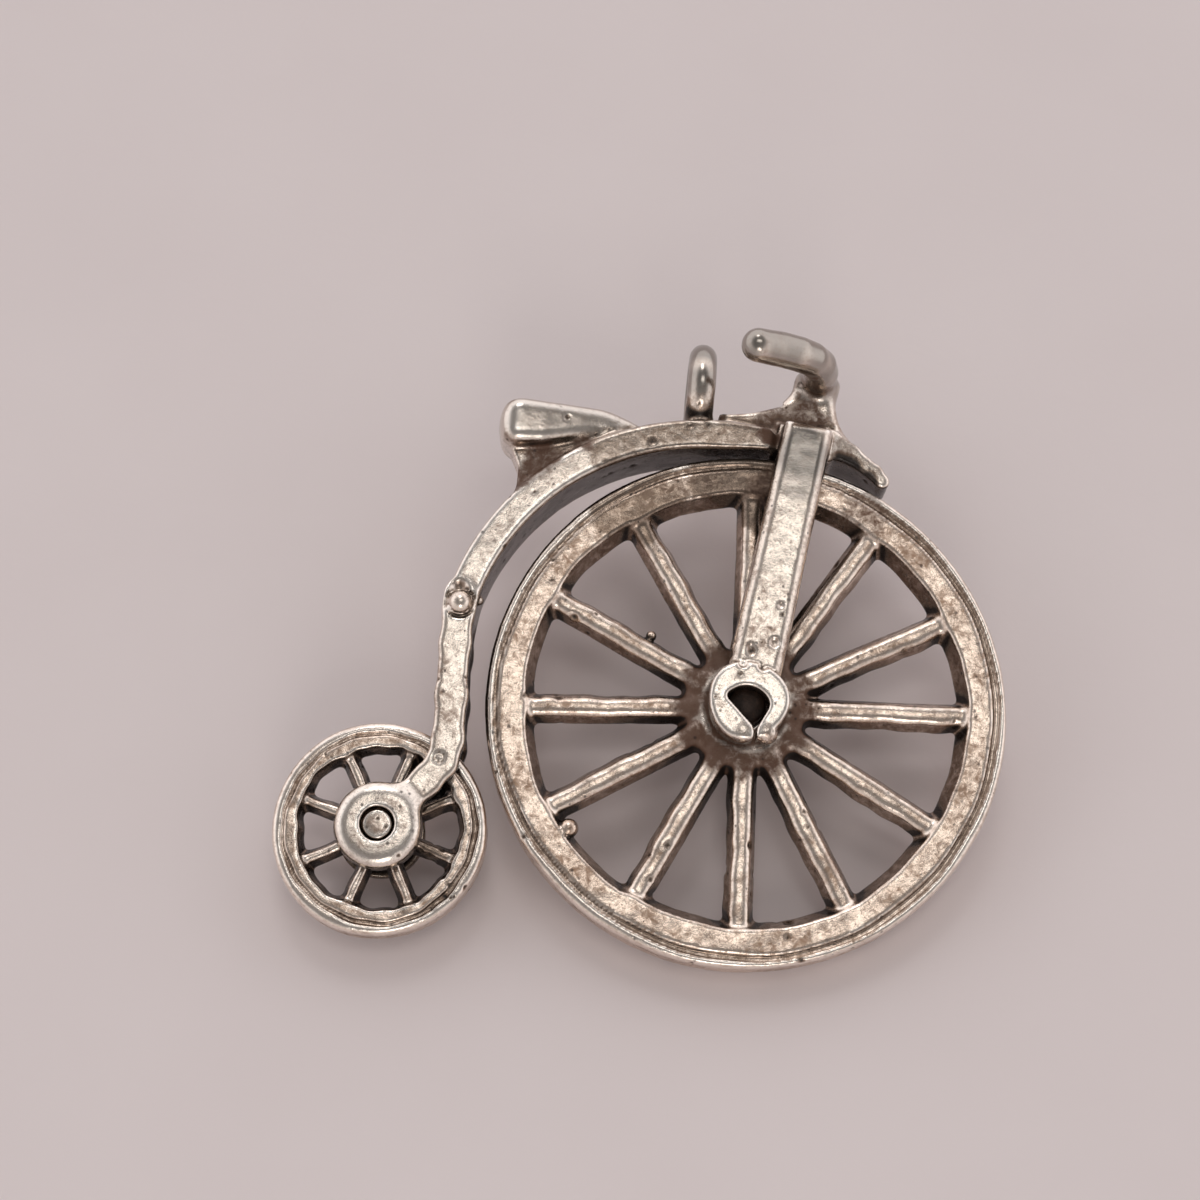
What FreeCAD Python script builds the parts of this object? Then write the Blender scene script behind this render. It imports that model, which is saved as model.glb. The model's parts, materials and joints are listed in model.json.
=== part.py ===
import FreeCAD, Part
import math
import os
import re

import Sketcher

# A small cast charm in the shape of a penny farthing bicycle, lying on its left side.
#
# Every piece is modelled in the charm's own frame: x forward from the rear wheel to the front
# one, y up the bicycle, z across it towards its right side, with the front axle at the origin.
# The last step lays the charm down on the three places that touch the ground: the left handlebar
# tip, the left edge of the front tyre and the left eye of the rear fork. The lying charm has +Z up,
# +X forward and its origin under the middle of its box.

SIZES = (
    # name, millimetres or degrees, what it measures
    ("front_radius", 8.4, "front wheel over its tyre"),
    ("front_width", 1.4, "front tyre, face to face"),
    ("front_band", 0.35, "front tyre, tread to groove"),
    ("front_felloe", 0.88, "front felloe, groove to inner edge"),
    ("front_draft", 0.3, "how far the felloe's middle stands in from its faces"),
    ("front_hub", 2.0, "front hub's radius"),
    ("front_hub_width", 1.24, "front hub, face to face"),
    ("front_spoke_width", 0.82, "front spoke at its thickest"),
    ("front_spoke_crest", 0.46, "front spoke's flat crest"),
    ("front_spoke_depth", 1.1, "front spoke, crest to crest"),
    ("rear_radius", 3.4, "rear wheel over its tyre"),
    ("rear_width", 1.2, "rear tyre, face to face"),
    ("rear_band", 0.38, "rear tyre, tread to groove"),
    ("rear_felloe", 0.4, "rear felloe, groove to inner edge"),
    ("rear_draft", 0.16, "how far the felloe's middle stands in from its faces"),
    ("rear_hub", 1.1, "rear hub's radius"),
    ("rear_hub_width", 1.1, "rear hub, face to face"),
    ("rear_spoke_width", 0.52, "rear spoke at its thickest"),
    ("rear_spoke_crest", 0.28, "rear spoke's flat crest"),
    ("rear_spoke_depth", 0.94, "rear spoke, crest to crest"),
    ("groove", 0.1, "groove between tyre and felloe, each side of the seam"),
    ("tread_round", 0.22, "rounding of a tyre's outer edges"),
    ("wheel_gap", 0.55, "front tyre to rear tyre"),
    ("side_gap", 0.15, "front tyre to each fork blade"),
    ("top_gap", 0.28, "front tyre to the crown above it"),
    ("rear_side_gap", 0.12, "rear tyre to each rear fork leg"),
    ("rear_top_gap", 0.4, "rear tyre to the rear fork's bridge"),
    ("axle_radius", 0.64, "front axle"),
    ("axle_play", 0.06, "front axle to the round of each eye"),
    ("axle_sink", 0.6, "front axle's end below the eye's outer face"),
    ("rivet_radius", 0.5, "rear rivet"),
    ("rivet_play", 0.05, "rear rivet to the rear hub's bore"),
    ("rivet_sink", 0.08, "rivet's head below the eye's outer face"),
    ("rivet_ring", 0.07, "open ring round the rivet's head"),
    ("ring_depth", 0.25, "depth of that ring"),
    ("blade_width", 1.62, "fork blade at the crown, front to back"),
    ("blade_foot", 1.78, "fork blade at the axle, front to back"),
    ("blade_thick", 0.75, "fork blade, inner to outer face"),
    ("blade_bevel", 0.2, "bevel along a blade's outer edges"),
    ("fork_lean", 7.9, "fork leans forward from upright"),
    ("crown_height", 0.87, "crown, underside to top"),
    ("eye_radius", 1.33, "crimped eye at the foot of a blade"),
    ("eye_thick", 0.9, "crimped eye, inner to outer face"),
    ("eye_slit", 0.14, "slit where the eye's two ends meet"),
    ("eye_round", 0.2, "rounding of an eye's outer edge"),
    ("rear_eye_radius", 1.4, "eye at the foot of a rear leg"),
    ("rear_eye_thick", 0.78, "rear eye, inner to outer face"),
    ("rear_eye_round", 0.32, "rounding of a rear eye's outer edge"),
    ("frame_depth", 2.4, "backbone across the bicycle"),
    ("frame_width", 1.0, "backbone seen from the side"),
    ("frame_bevel", 0.14, "bevel along the backbone's edges"),
    ("backbone_tuck", 0.26, "backbone's centre line inside the front tyre's radius"),
    ("backbone_back", 1.49, "backbone's centre behind the front axle"),
    ("backbone_rise", 0.8, "backbone's centre above the front axle"),
    ("backbone_end", 72.0, "where the backbone runs into the crown, from forward"),
    ("backbone_gap", 0.15, "front tyre to the backbone above it"),
    ("knuckle_turn", 170.5, "where backbone meets rear fork, from forward"),
    ("leg_width", 0.95, "rear fork leg seen from the side"),
    ("leg_step", 0.2, "rear fork leg's centre line outside the backbone's"),
    ("leg_reach", 3.14, "rear axle to the leg's knee"),
    ("leg_angle", 55.5, "knee above forward, seen from the rear axle"),
    ("step_radius", 0.42, "mounting step's bead"),
    ("step_sink", 0.12, "bead's centre below the backbone's face"),
    ("crown_length", 1.9, "crown, front to back"),
    ("stem_width", 1.25, "handlebar stem seen from the side"),
    ("stem_depth", 1.2, "handlebar stem across the bicycle"),
    ("stem_flare", 0.9, "stem's foot, beyond the stem each way"),
    ("stem_height", 1.9, "crown's top to the handlebar's centre line"),
    ("bar_radius", 0.55, "handlebar"),
    ("bar_out", 2.5, "handlebar's bend, out from the middle"),
    ("bar_bend", 1.3, "radius of that bend"),
    ("bar_back", 2.22, "handlebar's tip behind the stem"),
    ("bar_tip_out", 3.65, "handlebar's tip, out from the middle"),
    ("bar_drop", 0.45, "right arm's tip below the bar's middle"),
    ("left_bend_drop", 0.5, "left arm's bend below the bar's middle, as the casting droops"),
    ("left_tip_drop", 1.5, "left arm's tip below the bar's middle"),
    ("spoon_length", 1.8, "brake spoon beyond the crown"),
    ("spoon_gap", 0.3, "front tyre to the brake spoon"),
    ("spoon_drop", 0.5, "how far the spoon's tip stands below its root"),
    ("spoon_tip", 0.5, "brake spoon's thickness at its tip"),
    ("spoon_depth", 1.8, "brake spoon across the bicycle"),
    ("saddle_length", 5.2, "saddle, back to nose"),
    ("saddle_width", 2.7, "saddle at its back"),
    ("nose_width", 1.1, "saddle at its nose"),
    ("saddle_thick", 1.5, "saddle, top to underside"),
    ("saddle_round", 0.32, "rounding of the saddle's edges"),
    ("saddle_back", 8.85, "saddle's back behind the front axle"),
    ("saddle_drop", 1.4, "saddle's underside below the backbone's highest place"),
    ("bracket_depth", 1.5, "saddle bracket across the bicycle"),
    ("bracket_back", 0.45, "saddle's back to the bracket's back"),
    ("bracket_step", 0.3, "how far the bracket's back draws in under the saddle"),
    ("bracket_length", 3.0, "saddle bracket, back to front"),
    ("bail_radius", 1.08, "bail's centre line"),
    ("bail_wire", 0.46, "half the bail's thickness"),
    ("bail_hole", 0.7, "hole drilled through the bail"),
    ("bail_back", 2.3, "bail behind the front axle"),
    ("bail_sink", 0.15, "how deep the bail's foot stands in the backbone"),
)

SPOKE_TURNS = {
    # end: each spoke's angle above forward, in degrees; the big wheel's were set out by eye
    "front": (3.0, 28.6, 58.6, 92.3, 123.8, 154.6, 185.0, 212.4, 244.5, 272.5, 300.7, 331.6),
    "rear": (28.2, 73.2, 118.2, 163.2, 208.2, 253.2, 298.2, 343.2),
}

NAMES = {name for name, _, _ in SIZES}
SIDES = (("right", 1), ("left", -1))
ARM_DROPS = {
    # side: how far the arm's bend and its tip stand below the bar's middle
    "right": ("0", "bar_drop"),
    "left": ("left_bend_drop", "left_tip_drop"),
}

# Places that follow from the sizes. Both wheels stand on one line, a gap apart.
REAR_AXLE = (
    "-sqrt((front_radius + rear_radius + wheel_gap) ^ 2 - (front_radius - rear_radius) ^ 2)",
    "rear_radius - front_radius",
)
KNEE = (f"{REAR_AXLE[0]} + leg_reach * cos(leg_angle)",
        f"{REAR_AXLE[1]} + leg_reach * sin(leg_angle)")
CENTRE = ("-backbone_back", "backbone_rise")
ARC = "(front_radius - backbone_tuck)"
CREST = f"({ARC} + frame_width / 2)"
FORK_TOP = "(front_radius + top_gap + crown_height)"
SADDLE_FLOOR = f"(backbone_rise + {CREST} - saddle_drop)"

doc = FreeCAD.newDocument("penny_farthing_charm")
sheet = doc.addObject("Spreadsheet::Sheet", "Sizes")
for row, (name, number, note) in enumerate(SIZES, start=1):
    sheet.set(f"A{row}", name)
    sheet.set(f"B{row}", str(number))
    sheet.set(f"C{row}", note)
    sheet.setAlias(f"B{row}", name)
doc.recompute()

PARTS = []  # label, object, placement in the charm's frame


# --- helpers ------------------------------------------------------------------------------


def formula(text):
    """The text with each size's name pointed at its cell."""
    return re.sub(r"[a-z_]+", lambda m: f"Sizes.{m[0]}" if m[0] in NAMES else m[0], text)


def value(text):
    """What a formula of sizes comes to now."""
    result = sheet.evalExpression(formula(text))
    return float(getattr(result, "Value", result))


def bind(item, **sizes):
    """Ties properties of an object to formulas; two underscores stand for a dot."""
    for name, text in sizes.items():
        item.setExpression(name.replace("__", "."), formula(text))
    return item


def spot(x="0", y="0", z="0", turn="0"):
    """A placement in the charm's frame, turned about z by an angle in degrees."""
    base = FreeCAD.Vector(value(x), value(y), value(z))
    return FreeCAD.Placement(base, FreeCAD.Rotation(FreeCAD.Vector(0, 0, 1), value(turn)))


def part(label, item, place=None):
    """Keeps an object as a sub-part under its label."""
    item.Label = label
    PARTS.append((label, item, place or FreeCAD.Placement()))


def solid(kind, name, x="0", y="0", z="0", **sizes):
    """A Part primitive whose sizes and place are formulas."""
    item = doc.addObject(f"Part::{kind}", name)
    place = {"Placement__Base__x": x, "Placement__Base__y": y, "Placement__Base__z": z}
    return bind(item, **place, **sizes)


def box(name, place, turn, along, aside, heights):
    """A box turned about z at a place; each pair of formulas is where it starts and its size."""
    x = f"{place[0]} + ({along[0]}) * cos({turn}) - ({aside[0]}) * sin({turn})"
    y = f"{place[1]} + ({along[0]}) * sin({turn}) + ({aside[0]}) * cos({turn})"
    item = solid("Box", name, x, y, heights[0],
                 Length=along[1], Width=aside[1], Height=heights[1])
    item.Placement.Rotation = spot(turn=turn).Rotation
    return item


def disc(name, radius, low, high, x="0", y="0"):
    """An upright cylinder between two heights."""
    return solid("Cylinder", name, x, y, low, Radius=radius, Height=f"({high}) - ({low})")


def cut(name, base, *tools):
    """The base with every tool taken away."""
    for number, tool in enumerate(tools, start=1):
        item = doc.addObject("Part::Cut", name if number == len(tools) else f"{name}_{number}")
        item.Base = base
        item.Tool = tool
        base = item
    return base


def body_sketch(body, name, role="XY_Plane", lift="0"):
    """A sketch on one of the body's own origin planes, lifted along its normal."""
    sketch = body.newObject("Sketcher::SketchObject", name)
    plane = next(item for item in body.Origin.OriginFeatures if item.Role == role)
    sketch.AttachmentSupport = [(plane, "")]
    sketch.MapMode = "FlatFace"
    return bind(sketch, AttachmentOffset__Base__z=lift)


def hold(sketch, line, end, x, y):
    """Holds one end of a line at a place given by two formulas."""
    for kind, text in (("DistanceX", x), ("DistanceY", y)):
        number = sketch.addConstraint(Sketcher.Constraint(kind, -1, 1, line, end, value(text)))
        sketch.setExpression(f"Constraints[{number}]", formula(text))


def outline(sketch, corners):
    """A closed outline of straight lines whose corners are pairs of formulas."""
    spots = [FreeCAD.Vector(value(x), value(y), 0) for x, y in corners]
    count = len(spots)
    for line in range(count):
        sketch.addGeometry(Part.LineSegment(spots[line], spots[(line + 1) % count]), False)
    for line in range(count):
        sketch.addConstraint(Sketcher.Constraint("Coincident", line, 2, (line + 1) % count, 1))
    for line, (x, y) in enumerate(corners):
        hold(sketch, line, 1, x, y)


def circle(sketch, radius):
    """A circle about the sketch's origin."""
    centre = FreeCAD.Vector(0, 0, 0)
    ring = sketch.addGeometry(Part.Circle(centre, FreeCAD.Vector(0, 0, 1), value(radius)), False)
    sketch.addConstraint(Sketcher.Constraint("Coincident", ring, 3, -1, 1))
    number = sketch.addConstraint(Sketcher.Constraint("Radius", ring, value(radius)))
    sketch.setExpression(f"Constraints[{number}]", formula(radius))


def edges(feature, test):
    """Names of the feature's edges that pass a test of their bounding box."""
    shape = feature.Shape
    return [f"Edge{n}" for n, edge in enumerate(shape.Edges, start=1) if test(edge.BoundBox)]


def level(height):
    """A test for edges that lie flat at one height."""
    return lambda box: abs(box.ZMin - height) < 1e-6 and abs(box.ZMax - height) < 1e-6


def softened(body, kind, feature, names, **sizes):
    """A Fillet or Chamfer of the body along some edges of its last feature."""
    item = body.newObject(f"PartDesign::{kind}", f"{body.Name}_{kind.lower()}")
    item.Base = (feature, names)
    return bind(item, **sizes)


def padded(body, sketch, length, symmetric=False):
    """The body's sketch padded to a length."""
    pad = body.newObject("PartDesign::Pad", f"{body.Name}_pad")
    pad.Profile = sketch
    pad.SideType = "Symmetric" if symmetric else "One side"
    bind(pad, Length=length)
    doc.recompute()
    return pad


def revolved(name, corners, angle="360"):
    """A body turned about z from an outline of radius and height."""
    body = doc.addObject("PartDesign::Body", name)
    sketch = body_sketch(body, f"{name}_section", "XZ_Plane")
    outline(sketch, corners)
    turn = body.newObject("PartDesign::Revolution", f"{name}_turned")
    turn.Profile = sketch
    turn.ReferenceAxis = (sketch, ["V_Axis"])
    bind(turn, Angle=angle)
    doc.recompute()
    return body, turn


# --- wheels -------------------------------------------------------------------------------


def wheel(end, place):
    """Tyre, felloe, spokes and hub of the front or the rear wheel."""
    seam = f"{end}_radius - {end}_band"
    half = f"{end}_width / 2"
    inner = f"{seam} - {end}_felloe"

    tyre, turn = revolved(f"{end}_tyre", (
        (seam, f"groove - {half}"), (f"{seam} + groove", f"-{half}"),
        (f"{end}_radius", f"-{half}"), (f"{end}_radius", half),
        (f"{seam} + groove", half), (seam, f"{half} - groove"),
    ))
    tread = value(f"{end}_radius")
    rims = edges(turn, lambda box: box.XMax > tread - 1e-6 and box.ZLength < 1e-6)
    softened(tyre, "Fillet", turn, rims, Radius="tread_round")
    part(f"{end}_tyre", tyre, place)

    felloe, _ = revolved(f"{end}_felloe", (
        (f"{inner} - {end}_draft", f"-{half} / 3"), (inner, f"-{half}"),
        (f"{seam} - groove", f"-{half}"), (seam, f"groove - {half}"),
        (seam, f"{half} - groove"), (f"{seam} - groove", half),
        (inner, half), (f"{inner} - {end}_draft", f"{half} / 3"),
    ))
    part(f"{end}_felloe", felloe, place)
    part(f"{end}_spokes", spokes(end, inner), place)


def spokes(end, felloe_edge):
    """A ring of drafted spokes from the hub to the felloe's sloping inner side."""
    body = doc.addObject("PartDesign::Body", f"{end}_spoke")
    sketch = body_sketch(body, f"{end}_spoke_section", "YZ_Plane", f"{end}_hub * 0.9")
    wide = f"{end}_spoke_width / 2"
    crest = f"{end}_spoke_crest / 2"
    high = f"{end}_spoke_depth / 2"
    outline(sketch, (
        (f"-{wide}", f"-{high} / 4"), (f"-{crest}", f"-{high}"), (crest, f"-{high}"),
        (wide, f"-{high} / 4"), (wide, f"{high} / 4"), (crest, high),
        (f"-{crest}", high), (f"-{wide}", f"{high} / 4"),
    ))
    padded(body, sketch, f"{felloe_edge} + groove - {end}_hub * 0.9")
    hub = disc(f"{end}_hub_room", f"{end}_hub", f"-{end}_width", f"{end}_width")
    rim, _ = revolved(f"{end}_felloe_room", (
        (f"{felloe_edge} - {end}_draft", f"-{end}_width / 6"), (felloe_edge, f"-{end}_width / 2"),
        (f"{end}_radius", f"-{end}_width / 2"), (f"{end}_radius", f"{end}_width / 2"),
        (felloe_edge, f"{end}_width / 2"), (f"{felloe_edge} - {end}_draft", f"{end}_width / 6"),
    ))
    spoke = cut(f"{end}_spoke_ends", body, hub, rim)
    doc.recompute()
    ring = []
    for angle in SPOKE_TURNS[end]:
        copy = spoke.Shape.copy()
        copy.rotate(FreeCAD.Vector(0, 0, 0), FreeCAD.Vector(0, 0, 1), angle)
        ring.append(copy)
    item = doc.addObject("Part::Feature", f"{end}_spokes")
    item.Shape = Part.makeCompound(ring)
    return item


def hub(end, bore, place):
    """A round hub with its bore."""
    half = f"{end}_hub_width / 2"
    body = disc(f"{end}_hub_body", f"{end}_hub", f"-{half}", half)
    hole = disc(f"{end}_hub_bore", bore, f"-{end}_hub_width", f"{end}_hub_width")
    part(f"{end}_hub", cut(f"{end}_hub_bored", body, hole), place)


def pin(name, radius, end):
    """A round pin about z with bevelled ends."""
    bevel = f"({radius} * 0.2)"
    body, _ = revolved(name, (
        ("0", f"-({end})"), (f"{radius} - {bevel}", f"-({end})"),
        (radius, f"{bevel} - ({end})"), (radius, f"{end} - {bevel}"),
        (f"{radius} - {bevel}", end), ("0", end),
    ))
    return body


# --- front fork ---------------------------------------------------------------------------


def across(side, inner, thick):
    """Low and high z of a plate on one side of the bicycle."""
    if side > 0:
        return inner, f"{inner} + ({thick})"
    return f"-({inner}) - ({thick})", f"-({inner})"


def fork_blade(word, side, place):
    """A flat blade, bevelled along its outer edges, hollowed round its eye."""
    low, high = across(side, "front_width / 2 + side_gap", "blade_thick")
    body = doc.addObject("PartDesign::Body", f"fork_blade_{word}")
    sketch = body_sketch(body, f"blade_outline_{word}", "XY_Plane", low)
    outline(sketch, (
        ("-blade_foot / 2", "0"), ("blade_foot / 2", "0"),
        ("blade_width / 2", FORK_TOP), ("-blade_width / 2", FORK_TOP),
    ))
    pad = padded(body, sketch, "blade_thick")
    names = edges(pad, level(value(high if side > 0 else low)))
    softened(body, "Chamfer", pad, names, Size="blade_bevel")
    room = disc(f"eye_room_{word}", "eye_radius", f"{low} - eye_thick", f"{high} + eye_thick")
    part(f"fork_blade_{word}", cut(f"blade_cut_{word}", body, room), place)


def fork_eye(word, side, place):
    """An eye crimped round the axle: a ring with a tapering gap and a slit at its foot."""
    low, high = across(side, "front_width / 2 + side_gap", "eye_thick")
    body = doc.addObject("PartDesign::Body", f"fork_eye_{word}")
    sketch = body_sketch(body, f"eye_outline_{word}", "XY_Plane", low)
    circle(sketch, "eye_radius")
    circle(sketch, "axle_radius + axle_play")
    pad = padded(body, sketch, "eye_thick")
    outer = value("eye_radius") - 1e-6
    face = level(value(high if side > 0 else low))
    names = edges(pad, lambda box: face(box) and box.XMax > outer)
    fillet = softened(body, "Fillet", pad, names, Radius="eye_round")
    gap = body_sketch(body, f"eye_gap_{word}", "XY_Plane", low)
    outline(gap, (
        ("-axle_radius * 0.75", "-axle_radius * 0.5"), ("-eye_slit / 2", "-eye_radius * 0.72"),
        ("-eye_slit / 2", "-eye_radius * 1.5"), ("eye_slit / 2", "-eye_radius * 1.5"),
        ("eye_slit / 2", "-eye_radius * 0.72"), ("axle_radius * 0.75", "-axle_radius * 0.5"),
    ))
    pocket = body.newObject("PartDesign::Pocket", f"eye_slit_{word}")
    pocket.Profile = gap
    pocket.Reversed = True
    bind(pocket, Length="eye_thick * 2")
    doc.recompute()
    if pocket.Shape.Volume > fillet.Shape.Volume * 0.99:
        raise RuntimeError("the eye's slit cuts nothing")
    part(f"fork_eye_{word}", body, place)


def crown(place):
    """The block over the front wheel that joins the two blades."""
    body = doc.addObject("PartDesign::Body", "crown")
    low = "front_radius + top_gap"
    sketch = body_sketch(body, "crown_outline")
    outline(sketch, (
        ("-crown_length / 2", low), ("crown_length / 2", low),
        ("crown_length / 2", FORK_TOP), ("-crown_length / 2", FORK_TOP),
    ))
    padded(body, sketch, "front_width + side_gap * 2", symmetric=True)
    part("crown", body, place)


def stem(place):
    """The handlebar's stem, flared at its foot and hollowed on top for the bar."""
    body = doc.addObject("PartDesign::Body", "stem")
    sketch = body_sketch(body, "stem_outline")
    wide = "stem_width / 2"
    top = f"{FORK_TOP} + stem_height"
    outline(sketch, (
        (f"-{wide} - stem_flare", FORK_TOP), (f"{wide} + stem_flare / 2", FORK_TOP),
        (f"{wide}", f"{FORK_TOP} + stem_height * 0.4"), (wide, top), (f"-{wide}", top),
        (f"-{wide}", f"{FORK_TOP} + stem_height * 0.5"),
        (f"-{wide} - stem_flare * 0.35", f"{FORK_TOP} + stem_height * 0.15"),
    ))
    padded(body, sketch, "stem_depth", symmetric=True)
    bar = disc("bar_room", "bar_radius", "-stem_depth", "stem_depth", "0", top)
    part("handlebar_stem", cut("stem_cut", body, bar), place)


def handlebar(word, side, place):
    """One arm of the bar: out of the stem, down to a bend, back to a rounded tip."""
    radius = value("bar_radius")
    bend_drop, tip_drop = (value(text) for text in ARM_DROPS[word])
    top = value(f"{FORK_TOP} + stem_height")
    middle = FreeCAD.Vector(0, top, 0)
    shoulder = FreeCAD.Vector(0, top, side * value("stem_depth / 2"))
    corner = FreeCAD.Vector(0, top - bend_drop, side * value("bar_out"))
    tip = FreeCAD.Vector(-value("bar_back"), top - tip_drop, side * value("bar_tip_out"))
    outward = (corner - shoulder).normalize()
    along = (tip - corner).normalize()
    half_turn = outward.getAngle(along) / 2
    reach = value("bar_bend") * math.tan(half_turn)
    start = corner - outward * reach
    finish = corner + along * reach
    inside = (along - outward).normalize()
    mid = corner + inside * (value("bar_bend") * (1 / math.cos(half_turn) - 1))
    path = Part.Wire([
        Part.LineSegment(shoulder, start).toShape(),
        Part.Arc(start, mid, finish).toShape(),
        Part.LineSegment(finish, tip).toShape(),
    ])
    section = Part.Wire([Part.makeCircle(radius, shoulder, outward)])
    tube = path.makePipeShell([section], True, True)
    rod = Part.makeCylinder(radius, value("stem_depth / 2"), middle, FreeCAD.Vector(0, 0, side))
    joint = Part.makeSphere(radius, shoulder)
    ball = Part.makeSphere(radius, tip)
    arm = doc.addObject("Part::Feature", f"handlebar_{word}")
    arm.Shape = tube.fuse([rod, joint, ball]).removeSplitter()
    part(f"handlebar_{word}", arm, place)


def brake_spoon(place):
    """The short plate in front of the crown that reaches down towards the tyre."""
    body = doc.addObject("PartDesign::Body", "brake_spoon")
    sketch = body_sketch(body, "spoon_outline")
    root = "crown_length / 2"
    low = "front_radius + spoon_gap"
    end = f"{low} - spoon_drop"
    outline(sketch, (
        (root, low), (f"{root} + spoon_length - spoon_tip * 0.3", end),
        (f"{root} + spoon_length", f"{end} + spoon_tip"), (root, FORK_TOP),
    ))
    pad = padded(body, sketch, "spoon_depth", symmetric=True)
    tip = value(f"{root} + spoon_length")
    names = edges(pad, lambda box: box.XMin > tip - 0.3 and box.ZLength > 0.1)
    softened(body, "Fillet", pad, names, Radius="spoon_tip * 0.3")
    part("brake_spoon", body, place)


# --- backbone, saddle and bail ------------------------------------------------------------


def on_backbone(angle, beyond="0"):
    """Formulas of the place at an angle on the backbone, some way outside its centre line."""
    radius = f"({ARC} + {beyond})"
    return (f"-backbone_back + {radius} * cos({angle})", f"backbone_rise + {radius} * sin({angle})")


def backbone():
    """A bevelled bar turned about its own centre, from the rear fork to the crown."""
    inner = f"{ARC} - frame_width / 2"
    deep = "frame_depth / 2"
    body, _ = revolved("backbone", (
        (inner, f"frame_bevel - {deep}"), (f"{inner} + frame_bevel", f"-{deep}"),
        (f"{CREST} - frame_bevel", f"-{deep}"), (CREST, f"frame_bevel - {deep}"),
        (CREST, f"{deep} - frame_bevel"), (f"{CREST} - frame_bevel", deep),
        (f"{inner} + frame_bevel", deep), (inner, f"{deep} - frame_bevel"),
    ), "knuckle_turn - backbone_end")
    body.Placement = spot(*CENTRE, turn="backbone_end")
    crown_room = box("crown_room", ("0", "0"), "-fork_lean", ("-crown_length / 2", FORK_TOP),
                     ("0", f"{FORK_TOP} * 2"), ("-frame_depth", "frame_depth * 2"))
    tyre_room = disc("tyre_room", "front_radius + backbone_gap", "-frame_depth", "frame_depth")
    part("backbone", cut("backbone_cut", body, crown_room, tyre_room))


def step():
    """A bead on the backbone's right face, just above the rear fork."""
    x, y = on_backbone("knuckle_turn - 2")
    face = "frame_depth / 2"
    bead = solid("Sphere", "step_ball", x, y, f"{face} - step_sink", Radius="step_radius")
    below = disc("step_room", "step_radius * 2", "0", face, x, y)
    part("mounting_step", cut("step_cut", bead, below))


def beam(name, start, finish, width, low, high):
    """A plain bar between two places, seen from the side, and between two heights."""
    run = f"({finish[0]}) - ({start[0]})"
    rise = f"({finish[1]}) - ({start[1]})"
    return box(name, start, f"atan2({rise}; {run})", ("0", f"hypot({run}; {rise})"),
               (f"-{width} / 2", width), (low, f"({high}) - ({low})"))


def knuckle_room(name):
    """What the backbone's lower end takes from the rear fork."""
    return box(name, CENTRE, "knuckle_turn", (f"{ARC} - frame_width", "frame_width * 2"),
               ("-frame_width * 3", "frame_width * 3"), ("-frame_depth", "frame_depth * 2"))


def rear_leg(word, side):
    """One leg of the rear fork, down to the knee and back to its eye."""
    low, high = across(side, "rear_width / 2 + rear_side_gap",
                       "frame_depth / 2 - rear_width / 2 - rear_side_gap")
    top = on_backbone("knuckle_turn - 3", "leg_step")
    upper = beam(f"leg_upper_{word}", top, KNEE, "leg_width", low, high)
    lower = beam(f"leg_lower_{word}", KNEE, REAR_AXLE, "leg_width", low, high)
    knee = disc(f"leg_knee_{word}", "leg_width / 2", low, high, *KNEE)
    leg = doc.addObject("Part::MultiFuse", f"leg_whole_{word}")
    leg.Shapes = [upper, lower, knee]
    eye = disc(f"rear_eye_room_{word}", "rear_eye_radius", f"{low} - frame_depth",
               f"{high} + frame_depth", *REAR_AXLE)
    knuckle = knuckle_room(f"knuckle_room_{word}")
    part(f"rear_fork_leg_{word}", cut(f"leg_cut_{word}", leg, eye, knuckle))


def rear_bridge():
    """The web between the two legs, hollowed round the rear wheel."""
    inner = "rear_width / 2 + rear_side_gap"
    bar = beam("bridge_bar", on_backbone("knuckle_turn - 3", "leg_step"), KNEE, "leg_width",
               f"-({inner})", inner)
    pocket = disc("wheel_pocket", "rear_radius + rear_top_gap", "-frame_depth", "frame_depth",
                  *REAR_AXLE)
    part("rear_fork_bridge", cut("bridge_cut", bar, pocket, knuckle_room("knuckle_room_bridge")))


def rear_eye(word, side, place):
    """A round eye with a ring cut round the rivet's head."""
    low, high = across(side, "rear_width / 2 + rear_side_gap", "rear_eye_thick")
    body = doc.addObject("PartDesign::Body", f"rear_eye_{word}")
    sketch = body_sketch(body, f"rear_eye_outline_{word}", "XY_Plane", low)
    circle(sketch, "rear_eye_radius")
    circle(sketch, "rivet_radius")
    pad = padded(body, sketch, "rear_eye_thick")
    face = level(value(high if side > 0 else low))
    outer = value("rear_eye_radius") - 1e-6
    names = edges(pad, lambda box: face(box) and box.XMax > outer)
    softened(body, "Fillet", pad, names, Radius="rear_eye_round")
    doc.recompute()
    ends = (f"{high} - ring_depth", f"{high} + 1") if side > 0 else (
        f"{low} - 1", f"{low} + ring_depth")
    ring = disc(f"rivet_ring_{word}", "rivet_radius + rivet_ring", *ends)
    part(f"rear_fork_eye_{word}", cut(f"rear_eye_cut_{word}", body, ring), place)


def frame_room(name):
    """What the backbone's outer curve takes from the pieces that stand on it."""
    return disc(name, CREST, "-frame_depth", "frame_depth", *CENTRE)


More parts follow.
